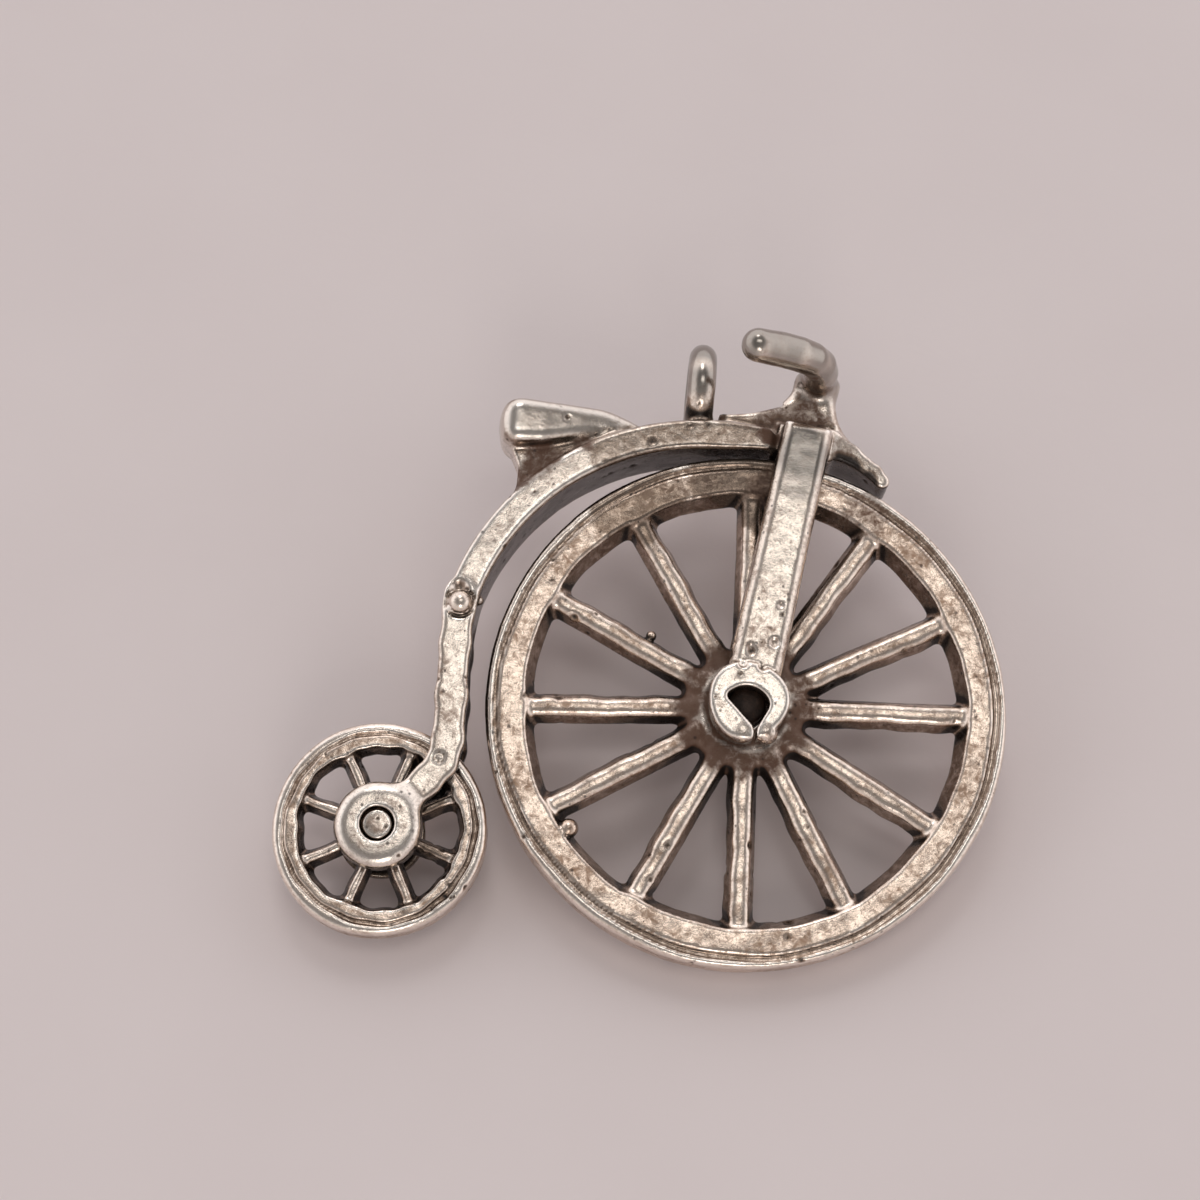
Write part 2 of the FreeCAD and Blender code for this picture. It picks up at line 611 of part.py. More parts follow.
def saddle():
    """A pear-shaped saddle, wide behind, rounded all over, and the bracket under it."""
    body = doc.addObject("PartDesign::Body", "saddle")
    sketch = body_sketch(body, "saddle_plan", "XZ_Plane",
                         f"-{SADDLE_FLOOR} - saddle_thick")
    nose = "saddle_length - saddle_back"
    outline(sketch, (
        ("-saddle_back", "-saddle_width / 2"), (nose, "-nose_width / 2"),
        (nose, "nose_width / 2"), ("-saddle_back", "saddle_width / 2"),
    ))
    pad = padded(body, sketch, "saddle_thick")
    front = value(nose) - 1e-6
    back = -value("saddle_back") + 1e-6
    ends = edges(pad, lambda box: box.YLength > 0.1 and box.XMax < back)
    corners = softened(body, "Fillet", pad, ends, Radius="saddle_width * 0.4")
    doc.recompute()
    tips = edges(corners, lambda box: box.YLength > 0.1 and box.XMin > front)
    point = softened(body, "Fillet", corners, tips, Radius="nose_width * 0.45")
    doc.recompute()
    rims = edges(point, lambda box: box.YLength < 1e-6)
    softened(body, "Fillet", point, rims, Radius="saddle_round")
    part("saddle", cut("saddle_cut", body, frame_room("saddle_room")))

    holder = doc.addObject("PartDesign::Body", "saddle_bracket")
    side = body_sketch(holder, "bracket_outline")
    rear = "bracket_back - saddle_back"
    outline(side, (
        (rear, SADDLE_FLOOR), (f"{rear} + bracket_step", f"{SADDLE_FLOOR} - bracket_step * 3"),
        (f"{rear} + bracket_step", f"{SADDLE_FLOOR} - bracket_length"),
        (f"{rear} + bracket_length", f"{SADDLE_FLOOR} - bracket_length"),
        (f"{rear} + bracket_length", SADDLE_FLOOR),
    ))
    padded(holder, side, "bracket_depth", symmetric=True)
    part("saddle_bracket", cut("bracket_cut", holder, frame_room("bracket_room")))


def bail_centre():
    """Formulas of the bail's centre, from where it stands on the backbone."""
    top = f"sqrt({CREST} ^ 2 - (bail_back - backbone_back) ^ 2)"
    return "-bail_back", f"backbone_rise + {top} + bail_radius + bail_wire - bail_sink"


def bail():
    """A ring across the bicycle, drilled through for a link of chain."""
    x, y = bail_centre()
    ring = solid("Torus", "bail_ring", x, y, Radius1="bail_radius", Radius2="bail_wire")
    drill = solid("Cylinder", "bail_drill", f"{x} - bail_radius", y, Radius="bail_hole",
                  Height="bail_radius * 2")
    for item in (ring, drill):
        item.Placement.Rotation = FreeCAD.Rotation(FreeCAD.Vector(0, 1, 0), 90)
    part("bail", cut("bail_cut", ring, drill, frame_room("bail_room")))


# --- laying the charm down ----------------------------------------------------------------


def lying():
    """The placement that lays the charm on its three lowest places, on its left side."""
    fork = spot(turn="-fork_lean")
    tip = fork.multVec(FreeCAD.Vector(
        -value("bar_back"), value(f"{FORK_TOP} + stem_height - {ARM_DROPS['left'][1]}"),
        -value("bar_tip_out")))
    eye_face = value("rear_width / 2 + rear_side_gap + rear_eye_thick")
    rounds = (  # centre, radius of the circle that touches, rounding beyond it
        (tip, 0, value("bar_radius")),
        (FreeCAD.Vector(0, 0, value("tread_round - front_width / 2")),
         value("front_radius - tread_round"), value("tread_round")),
        (FreeCAD.Vector(value(REAR_AXLE[0]), value(REAR_AXLE[1]),
                        value("rear_eye_round") - eye_face),
         value("rear_eye_radius - rear_eye_round"), value("rear_eye_round")),
    )
    up = FreeCAD.Vector(0, 0, 1)
    for _ in range(40):
        feet = []
        for centre, radius, rounding in rounds:
            flat = FreeCAD.Vector(-up.x, -up.y, 0)
            if flat.Length > 0:
                flat.normalize()
            feet.append(centre + flat * radius - up * rounding)
        up = (feet[1] - feet[0]).cross(feet[2] - feet[0]).normalize()
        if up.z < 0:
            up = up * -1
    forward = (FreeCAD.Vector(1, 0, 0) - up * up.x).normalize()
    left = up.cross(forward)
    turn = FreeCAD.Placement(FreeCAD.Vector(), FreeCAD.Rotation(forward, left, up, "ZXY").inverted())
    laid = []
    for _, item, place in PARTS:
        shape = item.Shape.copy()
        shape.Placement = turn.multiply(place)
        laid.append(shape)
    box = Part.makeCompound(laid).optimalBoundingBox(False, False)
    shift = FreeCAD.Vector(-(box.XMin + box.XMax) / 2, -(box.YMin + box.YMax) / 2, -box.ZMin)
    return FreeCAD.Placement(shift, FreeCAD.Rotation()).multiply(turn)


def main():
    """Builds every sub-part, checks it, lays it down and writes it."""
    fork = spot(turn="-fork_lean")
    rear = spot(*REAR_AXLE)
    wheel("front", FreeCAD.Placement())
    hub("front", "axle_radius", FreeCAD.Placement())
    end = "front_width / 2 + side_gap + eye_thick - axle_sink"
    part("front_axle", pin("front_axle", "axle_radius", end))
    wheel("rear", rear)
    hub("rear", "rivet_radius + rivet_play", rear)
    end = "rear_width / 2 + rear_side_gap + rear_eye_thick - rivet_sink"
    part("rear_axle_rivet", pin("rear_axle_rivet", "rivet_radius", end), rear)
    backbone()
    rear_bridge()
    step()
    crown(fork)
    stem(fork)
    brake_spoon(fork)
    saddle()
    bail()
    for word, side in SIDES:
        fork_blade(word, side, fork)
        fork_eye(word, side, fork)
        handlebar(word, side, fork)
        rear_leg(word, side)
        rear_eye(word, side, rear)
    doc.recompute()

    for item in doc.Objects:
        if {"Invalid", "Error"} & set(item.State):
            raise RuntimeError(f"{item.Name} is {item.State}")
    lay = lying()
    os.makedirs("parts", exist_ok=True)
    for label, item, place in PARTS:
        item.Placement = lay.multiply(place)
        shape = item.Shape
        if shape.isNull() or not shape.isValid():
            raise RuntimeError(f"{label} has no valid shape")
        shape.exportStep(f"parts/{label}.step")
        print(f"{label:24s} {len(shape.Solids)} solid(s) {shape.Volume:9.4f} mm3")
    print("lying placement", lay)


main()
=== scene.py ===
"""Looks of a small cast silver charm: a penny farthing bicycle lying on its left side.

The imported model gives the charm's place, its joints and the sizes of its wheels. Each casting is
drawn here as one closed skin: its members are written as distances from their surfaces, run
together with the fillets that wax and metal leave, and given the lumps, pits and beads of a
casting. All sizes are millimetres in the charm's own frame, where x runs forward from the rear
wheel to the front one, y runs up the bicycle and z runs across it towards its right side.
"""

from __future__ import annotations

import json
import logging
import math
from collections.abc import Callable
from dataclasses import dataclass
from enum import Enum
from itertools import product

import bpy
import numpy as np
from mathutils import Matrix, Vector

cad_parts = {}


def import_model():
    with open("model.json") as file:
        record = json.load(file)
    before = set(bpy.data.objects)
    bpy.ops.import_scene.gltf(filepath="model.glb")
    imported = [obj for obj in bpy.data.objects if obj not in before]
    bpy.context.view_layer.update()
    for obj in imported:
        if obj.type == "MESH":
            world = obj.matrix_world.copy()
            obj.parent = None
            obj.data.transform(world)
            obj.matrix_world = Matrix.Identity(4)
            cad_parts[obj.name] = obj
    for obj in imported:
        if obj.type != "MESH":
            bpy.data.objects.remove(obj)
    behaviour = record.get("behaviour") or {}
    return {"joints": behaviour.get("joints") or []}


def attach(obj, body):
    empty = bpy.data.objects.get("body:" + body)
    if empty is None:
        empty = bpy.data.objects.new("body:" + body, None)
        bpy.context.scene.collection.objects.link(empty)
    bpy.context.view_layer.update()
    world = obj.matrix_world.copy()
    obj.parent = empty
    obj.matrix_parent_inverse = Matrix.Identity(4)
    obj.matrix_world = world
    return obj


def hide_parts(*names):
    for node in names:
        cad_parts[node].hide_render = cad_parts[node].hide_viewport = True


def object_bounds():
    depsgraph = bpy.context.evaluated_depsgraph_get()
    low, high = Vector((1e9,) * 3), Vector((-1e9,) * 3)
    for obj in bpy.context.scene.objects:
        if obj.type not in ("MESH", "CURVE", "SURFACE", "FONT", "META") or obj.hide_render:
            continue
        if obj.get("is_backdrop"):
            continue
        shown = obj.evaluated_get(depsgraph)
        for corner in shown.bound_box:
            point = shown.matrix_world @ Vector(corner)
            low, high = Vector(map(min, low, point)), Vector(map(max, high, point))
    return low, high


LOG = logging.getLogger("charm")
MM = 1000.0  # millimetres in a metre
FAR = 4.0  # a distance further than any fillet or shadow looks, in millimetres
SHELTER_REACHES = (0.15, 0.4, 0.9, 2.2)  # how far out a surface looks for what shelters it
WEAR_DEPTH = 0.16  # how far in it looks for thin metal, which wears bright
SEED = 1871
HANDLEBAR_RADIUS = 0.55  # of the CAD bar, in millimetres
SPOKES_APART = 8.0  # degrees between two spokes' tips, at the least

Array = np.ndarray
Distance = Callable[[Array, Array, Array], Array]
Triple = tuple[float, float, float]
Pair = tuple[float, float]


# --- the charm's own frame ----------------------------------------------------------------


class End(Enum):
    """Which wheel, by the first word of its nodes' names."""

    FRONT = "front"
    REAR = "rear"


class Side(Enum):
    """Which side of the bicycle, by the sign of z there."""

    RIGHT = 1
    LEFT = -1


class Mark(Enum):
    """What a skin knows of each of its corners, by the name of its attribute."""

    # Tarnished hollows and pores, with painted shade on side walls and on spots where shadows fall.
    TARNISH = "tarnish"
    WORN = "worn"
    GRIME = "grime"
    POLISH = "polish"


@dataclass(frozen=True)
class CharmFrame:
    """The charm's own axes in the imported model's space."""

    origin: Array
    axes: Array

    @classmethod
    def from_joints(cls, joints: list[dict]) -> CharmFrame:
        """Finds the frame from the front wheel's axle.

        Args:
            joints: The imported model's joints.

        Returns:
            A frame whose z is the axle and whose x has no part along the row's Y.
        """
        hinge = next(j for j in joints if j["name"] == "front_wheel_spin")
        across = np.array(hinge["axis"], float)
        across /= np.linalg.norm(across)
        forward = np.array((across[2], 0.0, -across[0]))
        forward /= np.linalg.norm(forward)
        up = np.cross(across, forward)
        return cls(np.array(hinge["pos_m"], float), np.array((forward, up, across)))

    def inward(self, points: Array) -> Array:
        """Turns places in metres into the charm's millimetres."""
        return (points - self.origin) @ self.axes.T * MM

    def outward(self, points: Array) -> Array:
        """Turns the charm's millimetres into places in metres."""
        return points / MM @ self.axes + self.origin

    def direction(self, way: Triple) -> Vector:
        """Turns a direction of the charm's into one of the row's, of length one."""
        return Vector(np.array(way) @ self.axes).normalized()

    def node(self, name: str) -> Array:
        """The corners of a CAD node's mesh, in the charm's millimetres.

        Args:
            name: The node's name.

        Returns:
            One corner a row.
        """
        mesh = bpy.data.objects[name].data
        flat = np.empty(len(mesh.vertices) * 3)
        mesh.vertices.foreach_get("co", flat)
        return self.inward(flat.reshape(-1, 3))


# --- distances ----------------------------------------------------------------------------


def merged(a: Array, b: Array, fillet: float) -> Array:
    """Joins two solids with a fillet of about this radius.

    Args:
        a: Distances from one solid.
        b: Distances from the other.
        fillet: The fillet's radius.

    Returns:
        Distances from both as one.
    """
    if fillet <= 0:
        return np.minimum(a, b)
    mix = np.clip(fillet - np.abs(a - b), 0, None)
    return np.minimum(a, b) - mix * mix / (4 * fillet)


def shared(a: Array, b: Array, rounding: float) -> Array:
    """Keeps what two solids share, with its edges rounded."""
    return -merged(-a, -b, rounding)


def rise(level: Array, start: float, end: float) -> Array:
    """Goes smoothly from 0 where a level is at start to 1 where it is at end."""
    share = np.clip((level - start) / (end - start), 0, 1)
    return share * share * (3 - 2 * share)


def slab(flat: Array, z: Array, half: float, rounding: float) -> Array:
    """Gives a flat outline a thickness.

    Args:
        flat: Distance from the outline, seen from the side.
        z: Height from the slab's middle.
        half: Half of the slab's thickness.
        rounding: Radius of its edges.

    Returns:
        Distance from the slab.
    """
    out = flat + rounding
    high = np.abs(z) - half + rounding
    outside = np.hypot(np.clip(out, 0, None), np.clip(high, 0, None))
    return np.minimum(np.maximum(out, high), 0) + outside - rounding


def run(x: Array, y: Array, points: list[Pair], radii: list[float],
        fillet: float = 0.0) -> Array:
    """Distance, seen from the side, from a bar that bends at several places.

    Args:
        x: Places' first coordinate.
        y: Places' second coordinate.
        points: The bar's ends and bends.
        radii: Its half width at each of them.
        fillet: Radius that the insides of its bends are filled with.

    Returns:
        Distance from the bar's outline.
    """
    best = np.full(np.broadcast(x, y).shape, FAR)
    for (a, b), (r0, r1) in zip(zip(points, points[1:]), zip(radii, radii[1:])):
        dx, dy = b[0] - a[0], b[1] - a[1]
        along = np.clip(((x - a[0]) * dx + (y - a[1]) * dy) / (dx * dx + dy * dy), 0, 1)
        away = np.hypot(x - a[0] - along * dx, y - a[1] - along * dy)
        best = merged(best, away - (r0 + (r1 - r0) * along), fillet)
    return best


def wire(x: Array, y: Array, z: Array, points: list[Triple],
         radii: list[float]) -> Array:
    """Distance from a round wire through several places.

    Args:
        x: Places' first coordinate.
        y: Places' second coordinate.
        z: Places' third coordinate.
        points: The wire's ends and bends.
        radii: Its radius at each of them.

    Returns:
        Distance from the wire.
    """
    best = np.full(np.broadcast(x, y, z).shape, FAR)
    for (a, b), (r0, r1) in zip(zip(points, points[1:]), zip(radii, radii[1:])):
        d = [b[i] - a[i] for i in range(3)]
        size = sum(v * v for v in d)
        along = np.clip(((x - a[0]) * d[0] + (y - a[1]) * d[1] + (z - a[2]) * d[2]) / size, 0, 1)
        away = np.sqrt((x - a[0] - along * d[0]) ** 2 + (y - a[1] - along * d[1]) ** 2
                       + (z - a[2] - along * d[2]) ** 2) - (r0 + (r1 - r0) * along)
        best = np.minimum(best, away)
    return best


def ball(x: Array, y: Array, z: Array, centre: Triple, radius: float) -> Array:
    """Distance from a ball."""
    return np.sqrt((x - centre[0]) ** 2 + (y - centre[1]) ** 2 + (z - centre[2]) ** 2) - radius


def turned(x: Array, y: Array, angle: float) -> tuple[Array, Array]:
    """Coordinates along and across a direction at an angle in degrees above forward."""
    c, s = math.cos(math.radians(angle)), math.sin(math.radians(angle))
    return x * c + y * s, y * c - x * s


def around(places: list[Triple], margin: float) -> tuple[Triple, Triple]:
    """The box round some places, with room on every side.

    Args:
        places: The places.
        margin: How much room.

    Returns:
        The box's lowest and highest corners.
    """
    spread = np.array(places, float)
    low, high = spread.min(0) - margin, spread.max(0) + margin
    return tuple(low), tuple(high)


class Lumps:
    """Smooth random heights in space, the same at each run."""

    SPAN = 32

    def __init__(self, seed: int) -> None:
        """Draws the heights at the corners of a lattice."""
        self.heights = np.random.default_rng(seed).uniform(-1, 1, (self.SPAN,) * 3)

    def at(self, points: Array, size: float) -> Array:
        """Heights from -1 to 1 at some places.

        Args:
            points: Places in millimetres, one a row.
            size: Distance from one lump to the next.

        Returns:
            One height for each place.
        """
        scaled = points / size + 100.0
        base = np.floor(scaled).astype(int)
        part = scaled - base
        part = part * part * (3 - 2 * part)
        total = np.zeros(len(points))
        for corner in product((0, 1), repeat=3):
            share = np.prod([part[:, i] if c else 1 - part[:, i] for i, c in enumerate(corner)], 0)
            spot = [(base[:, i] + c) % self.SPAN for i, c in enumerate(corner)]
            total += share * self.heights[spot[0], spot[1], spot[2]]
        return total


# --- a casting ----------------------------------------------------------------------------


@dataclass
class Skin:
    """A closed surface of four-sided faces and what is known of each of its corners."""

    points: Array
    faces: Array
    normals: Array
    marks: dict[Mark, Array]

    def deepen(self, mark: Mark, levels: Array) -> None:
        """Raises what is known of the corners to some levels, where those are higher."""
        self.marks[mark] = np.clip(np.maximum(self.marks[mark], levels), 0, 1)

    def roughen(self, lumps: Lumps, swell: float, grain: float) -> None:
        """Gives the skin the unevenness of a casting.

        Args:
            lumps: Random heights.
            swell: Height of the broad lumps.
            grain: Height of the small ones.
        """
        at = self.points
        height = swell * (lumps.at(at, 1.7) + 0.5 * lumps.at(at + 7, 0.8))
        rough = grain * (lumps.at(at + 3, 0.33) + 0.6 * lumps.at(at + 5, 0.18))
        height += rough * (1 - 0.75 * self.marks[Mark.POLISH])
        self.points = at + self.normals * height[:, None]


@dataclass(frozen=True)
class Patch:
    """A round patch of a skin that has kept its dirt or its polish, that has tarnished, or that has
    a shadow painted on.
    """

    mark: Mark
    place: Triple
    reach: float
    amount: float

    def paint(self, skin: Skin, lumps: Lumps) -> None:
        """Marks a skin's corners near the patch's middle, out to an uneven edge.

        Args:
            skin: The surface, which is changed.
            lumps: Random heights that the patch's edge follows.
        """
        away = np.linalg.norm(skin.points - self.place, axis=1) / self.reach
        away += 0.22 * lumps.at(skin.points, 0.45)
        skin.deepen(self.mark, self.amount * rise(away, 1.1, 0.55))


@dataclass(frozen=True)
class Pitting:
    """Gas pits that a casting's surface is left with."""

    count: int
    smallest: float
    largest: float
    depth: float
    cluster: float = 1.6

    def carve(self, skin: Skin, seed: int) -> None:
        """Sinks pits into a skin, more of them in some places than others.

        Args:
            skin: The surface, which is changed.
            seed: Number that the pits' places are drawn from.
        """
        draw = np.random.default_rng(seed)
        patches = Lumps(seed + 1).at(skin.points, self.cluster)
        chance = np.clip(patches + 0.25, 0.02, None) ** 2 * (1 - skin.marks[Mark.POLISH])
        picks = draw.choice(len(skin.points), self.count, p=chance / chance.sum())
        spread = self.largest - self.smallest
        sizes = draw.uniform(0, 1, self.count) ** 2.5 * spread + self.smallest
        soiled = np.zeros(len(skin.points))
        for pick, size in zip(picks, sizes):
            centre = skin.points[pick]
            near = np.flatnonzero(np.abs(skin.points[:, 0] - centre[0]) < size)
            away = np.linalg.norm(skin.points[near] - centre, axis=1) / size
            near, away = near[away < 1], away[away < 1]
            bowl = (1 - away ** 2) ** 2
            skin.points[near] -= skin.normals[near] * (bowl * self.depth * size)[:, None]
            soiled[near] = np.maximum(soiled[near], 0.8 * bowl)
        skin.deepen(Mark.TARNISH, soiled)


@dataclass(frozen=True)
class Member:
    """One shape run into a casting or taken out of it, and the box that it is felt in."""

    low: Triple
    high: Triple
    shape: Distance
    fillet: float
    taken: bool

    def work(self, heights: Array, x: Array, y: Array,
             z: Array) -> Array:
        """Runs the member in, or takes it out.

        Args:
            heights: Distances before it.
            x: Places' first coordinate.
            y: Their second.
            z: Their third.

        Returns:
            Distances after it.
        """
        away = self.shape(x, y, z)
        if self.taken:
            return shared(heights, -away, self.fillet)
        return merged(heights, away, self.fillet)


class Casting:
    """Members run together, and the grid that their surface is looked for on."""

    def __init__(self, low: Triple, high: Triple, pitch: float) -> None:
        """Lays out a grid.

        Args:
            low: The grid's lowest corner.
            high: Its highest corner.
            pitch: Distance between its points.
        """
        self.low = np.array(low, float)
        self.pitch = pitch
        counts = np.ceil((np.array(high) - self.low) / pitch).astype(int) + 1
        self.ticks = [self.low[i] + pitch * np.arange(counts[i]) for i in range(3)]
        self.members: list[Member] = []

    def add(self, low: Triple, high: Triple, shape: Distance, fillet: float = 0.0) -> None:
        """Runs a member into the casting.

        Args:
            low: Lowest corner of the space round the member.
            high: Highest corner.
            shape: Distance from the member.
            fillet: Radius of the fillet that it meets the rest with.
        """
        self.members.append(Member(low, high, shape, fillet, False))

    def cut(self, low: Triple, high: Triple, shape: Distance, rounding: float = 0.0) -> None:
        """Takes a shape out of the casting, with the same arguments as add."""
        self.members.append(Member(low, high, shape, rounding, True))

    def at(self, points: Array) -> Array:
        """Distances from the casting's surface at any places, negative in the metal.

        Args:
            points: The places, one a row.

        Returns:
            One distance for each place.
        """
        heights = np.full(len(points), FAR)
        for member in self.members:
            near = np.flatnonzero(((points >= member.low) & (points <= member.high)).all(1))
            heights[near] = member.work(heights[near], *points[near].T)
        return heights

    def _grid(self) -> Array:
        """Distances at the grid's points.

        Returns:
            One distance for each point.
        """
        heights = np.full([len(t) for t in self.ticks], FAR, np.float32)
        for member in self.members:
            cuts, axes = [], []
            for i in range(3):
                first, last = np.searchsorted(self.ticks[i], (member.low[i], member.high[i]))
                cuts.append(slice(int(first), int(last)))
                axes.append(self.ticks[i][cuts[i]].reshape([-1 if j == i else 1 for j in range(3)]))
            heights[tuple(cuts)] = member.work(heights[tuple(cuts)], *axes)
        return heights

    def _slope(self, points: Array) -> Array:
        """How the distance grows along x, y and z.

        Args:
            points: The places, one a row.

        Returns:
            Three slopes for each place.
        """
        step = 0.012
        return np.stack([(self.at(points + way) - self.at(points - way)) / (2 * step)
                         for way in np.eye(3) * step], 1)

    def _corners(self, heights: Array) -> tuple[Array, Array]:
        """One point for each cell that the surface passes, and the cells' numbers.

        Args:
            heights: Distances at the grid's points.

        Returns:
            The points, one a row, and each cell's number, or -1 where it has no point.
        """
        inside = heights < 0
        ends = [slice(0, -1), slice(1, None)]
        count = np.zeros(np.array(inside.shape) - 1, np.uint8)
        for corner in product((0, 1), repeat=3):
            count += inside[tuple(ends[c] for c in corner)]
        active = (count > 0) & (count < 8)
        numbers = np.full(active.shape, -1)
        cells = np.argwhere(active)
        numbers[active] = np.arange(len(cells))
        total, hits = np.zeros((len(cells), 3)), np.zeros(len(cells))
        for axis in range(3):
            for others in product((0, 1), repeat=2):
                a = np.insert(np.array(others), axis, 0)
                b = np.insert(np.array(others), axis, 1)
                at_a = heights[tuple((cells + a).T)].astype(float)
                at_b = heights[tuple((cells + b).T)].astype(float)
                cross = (at_a < 0) != (at_b < 0)
                share = (at_a[cross] / (at_a[cross] - at_b[cross]))[:, None]
                total[cross] += a + (b - a) * share
                hits[cross] += 1
        return self.low + self.pitch * (cells + total / hits[:, None]), numbers

    @staticmethod
    def _faces(heights: Array, numbers: Array) -> Array:
        """A four-sided face round each edge of the grid that the surface crosses.

        Args:
            heights: Distances at the grid's points.
            numbers: The cells' numbers.

        Returns:
            Four corners for each face.
        """
        inside = heights < 0
        faces = []
        for axis in range(3):
            u, v = (axis + 1) % 3, (axis + 2) % 3
            first, second = [slice(1, -1)] * 3, [slice(1, -1)] * 3
            first[axis], second[axis] = slice(0, -1), slice(1, None)
            here, there = inside[tuple(first)], inside[tuple(second)]
            spots = np.argwhere(here != there)
            outward = here[tuple(spots.T)]
            spots += [0 if i == axis else 1 for i in range(3)]
            step_u, step_v = np.eye(3, dtype=int)[u], np.eye(3, dtype=int)[v]
            ring = [numbers[tuple((spots - move).T)]
                    for move in (0 * step_u, step_u, step_u + step_v, step_v)]
            quads = np.stack(ring, 1)
            quads[~outward] = quads[~outward][:, ::-1]
            faces.append(quads)
        return np.concatenate(faces)

    def skin(self, beside: Distance | None = None) -> Skin:
        """Draws the surface and says where it has tarnished, where shade is painted on its side
        walls, and where it has worn bright.

        Args:
            beside: Distance from what stands close to the casting and shelters it.

        Returns:
            The closed skin.
        """
        heights = self._grid()
        points, numbers = self._corners(heights)
        faces = self._faces(heights, numbers)
        for _ in range(3):
            slope = self._slope(points)
            size = np.clip((slope ** 2).sum(1), 0.2, None)
            move = (self.at(points) / size)[:, None] * slope
            points -= np.clip(move, -self.pitch / 2, self.pitch / 2)
        normals = self._slope(points)
        normals /= np.clip(np.linalg.norm(normals, axis=1), 1e-6, None)[:, None]
        shelter = []
        for reach in SHELTER_REACHES:
            outer = points + normals * reach
            clear = self.at(outer)
            if beside is not None:
                clear = np.minimum(clear, beside(*outer.T))
            shelter.append(np.clip(1 - clear / reach, 0, 1))
        recess = 0.3 * (shelter[0] + shelter[1] + shelter[2]) + 0.1 * shelter[3]
        edge = rise(1 + self.at(points - normals * WEAR_DEPTH) / WEAR_DEPTH, 0.03, 0.35)
        # Side walls, whose normals lie across z, are darkened: partly tarnished metal that the
        # polishing mop missed, partly painted shade for the dark surroundings that such walls
        # reflect.
        wall = rise(np.abs(normals[:, 2]), 0.8, 0.35)
        tarnish = 0.8 * rise(recess, 0.08, 0.6) + wall * (0.08 + 0.3 * rise(shelter[3], 0.02, 0.6))
        marks = {mark: np.zeros(len(points)) for mark in Mark}
        marks[Mark.TARNISH] = np.clip(tarnish * (1 - 0.5 * edge), 0, 1)
        marks[Mark.WORN] = edge * (1 - rise(recess, 0.05, 0.5))
        return Skin(points, faces, normals, marks)


# --- finishes -----------------------------------------------------------------------------


def linear(code: str) -> tuple[float, float, float, float]:
    """Turns an sRGB hex colour into the renderer's linear one.

    Args:
        code: The colour, as # and six digits.

    Returns:
        Red, green, blue and one.
    """
    levels = [int(code[i:i + 2], 16) / 255 for i in (1, 3, 5)]
    flat = [v / 12.92 if v <= 0.04045 else ((v + 0.055) / 1.055) ** 2.4 for v in levels]
    return flat[0], flat[1], flat[2], 1.0


def add_node(tree: bpy.types.NodeTree, kind: str, inputs: dict | None = None,
             **settings: object) -> bpy.types.Node:
    """Adds a node to a node tree.

    Args:
        tree: The tree.
        kind: The node's type.
        inputs: A number, a colour or another node's socket for each input by name or number.
        settings: The node's own settings.

    Returns:
        The new node.
    """
    made = tree.nodes.new(kind)
    for name, setting in settings.items():
        setattr(made, name, setting)
    for key, given in (inputs or {}).items():
        if isinstance(given, bpy.types.NodeSocket):
            tree.links.new(given, made.inputs[key])
        else:
            made.inputs[key].default_value = given
    return made


def new_material(name: str) -> tuple[bpy.types.Material, bpy.types.NodeTree]:
    """Makes an empty material.

    Args:
        name: The material's name.

    Returns:
        The material and its node tree.
    """
    material = bpy.data.materials.new(name)
    material.use_nodes = True
    material.node_tree.nodes.clear()
    return material, material.node_tree


class Step(Enum):
    """What a node makes of the numbers that go in: its type, its setting and the choice made."""

    SCALE_ADD = ("ShaderNodeMath", "operation", "MULTIPLY_ADD")
    ADD = ("ShaderNodeMath", "operation", "ADD")
    SUBTRACT = ("ShaderNodeMath", "operation", "SUBTRACT")
    MULTIPLY = ("ShaderNodeMath", "operation", "MULTIPLY")
    HIGHER = ("ShaderNodeMath", "operation", "MAXIMUM")
    RAMP = ("ShaderNodeMapRange", "interpolation_type", "LINEAR")
    EASE = ("ShaderNodeMapRange", "interpolation_type", "SMOOTHSTEP")


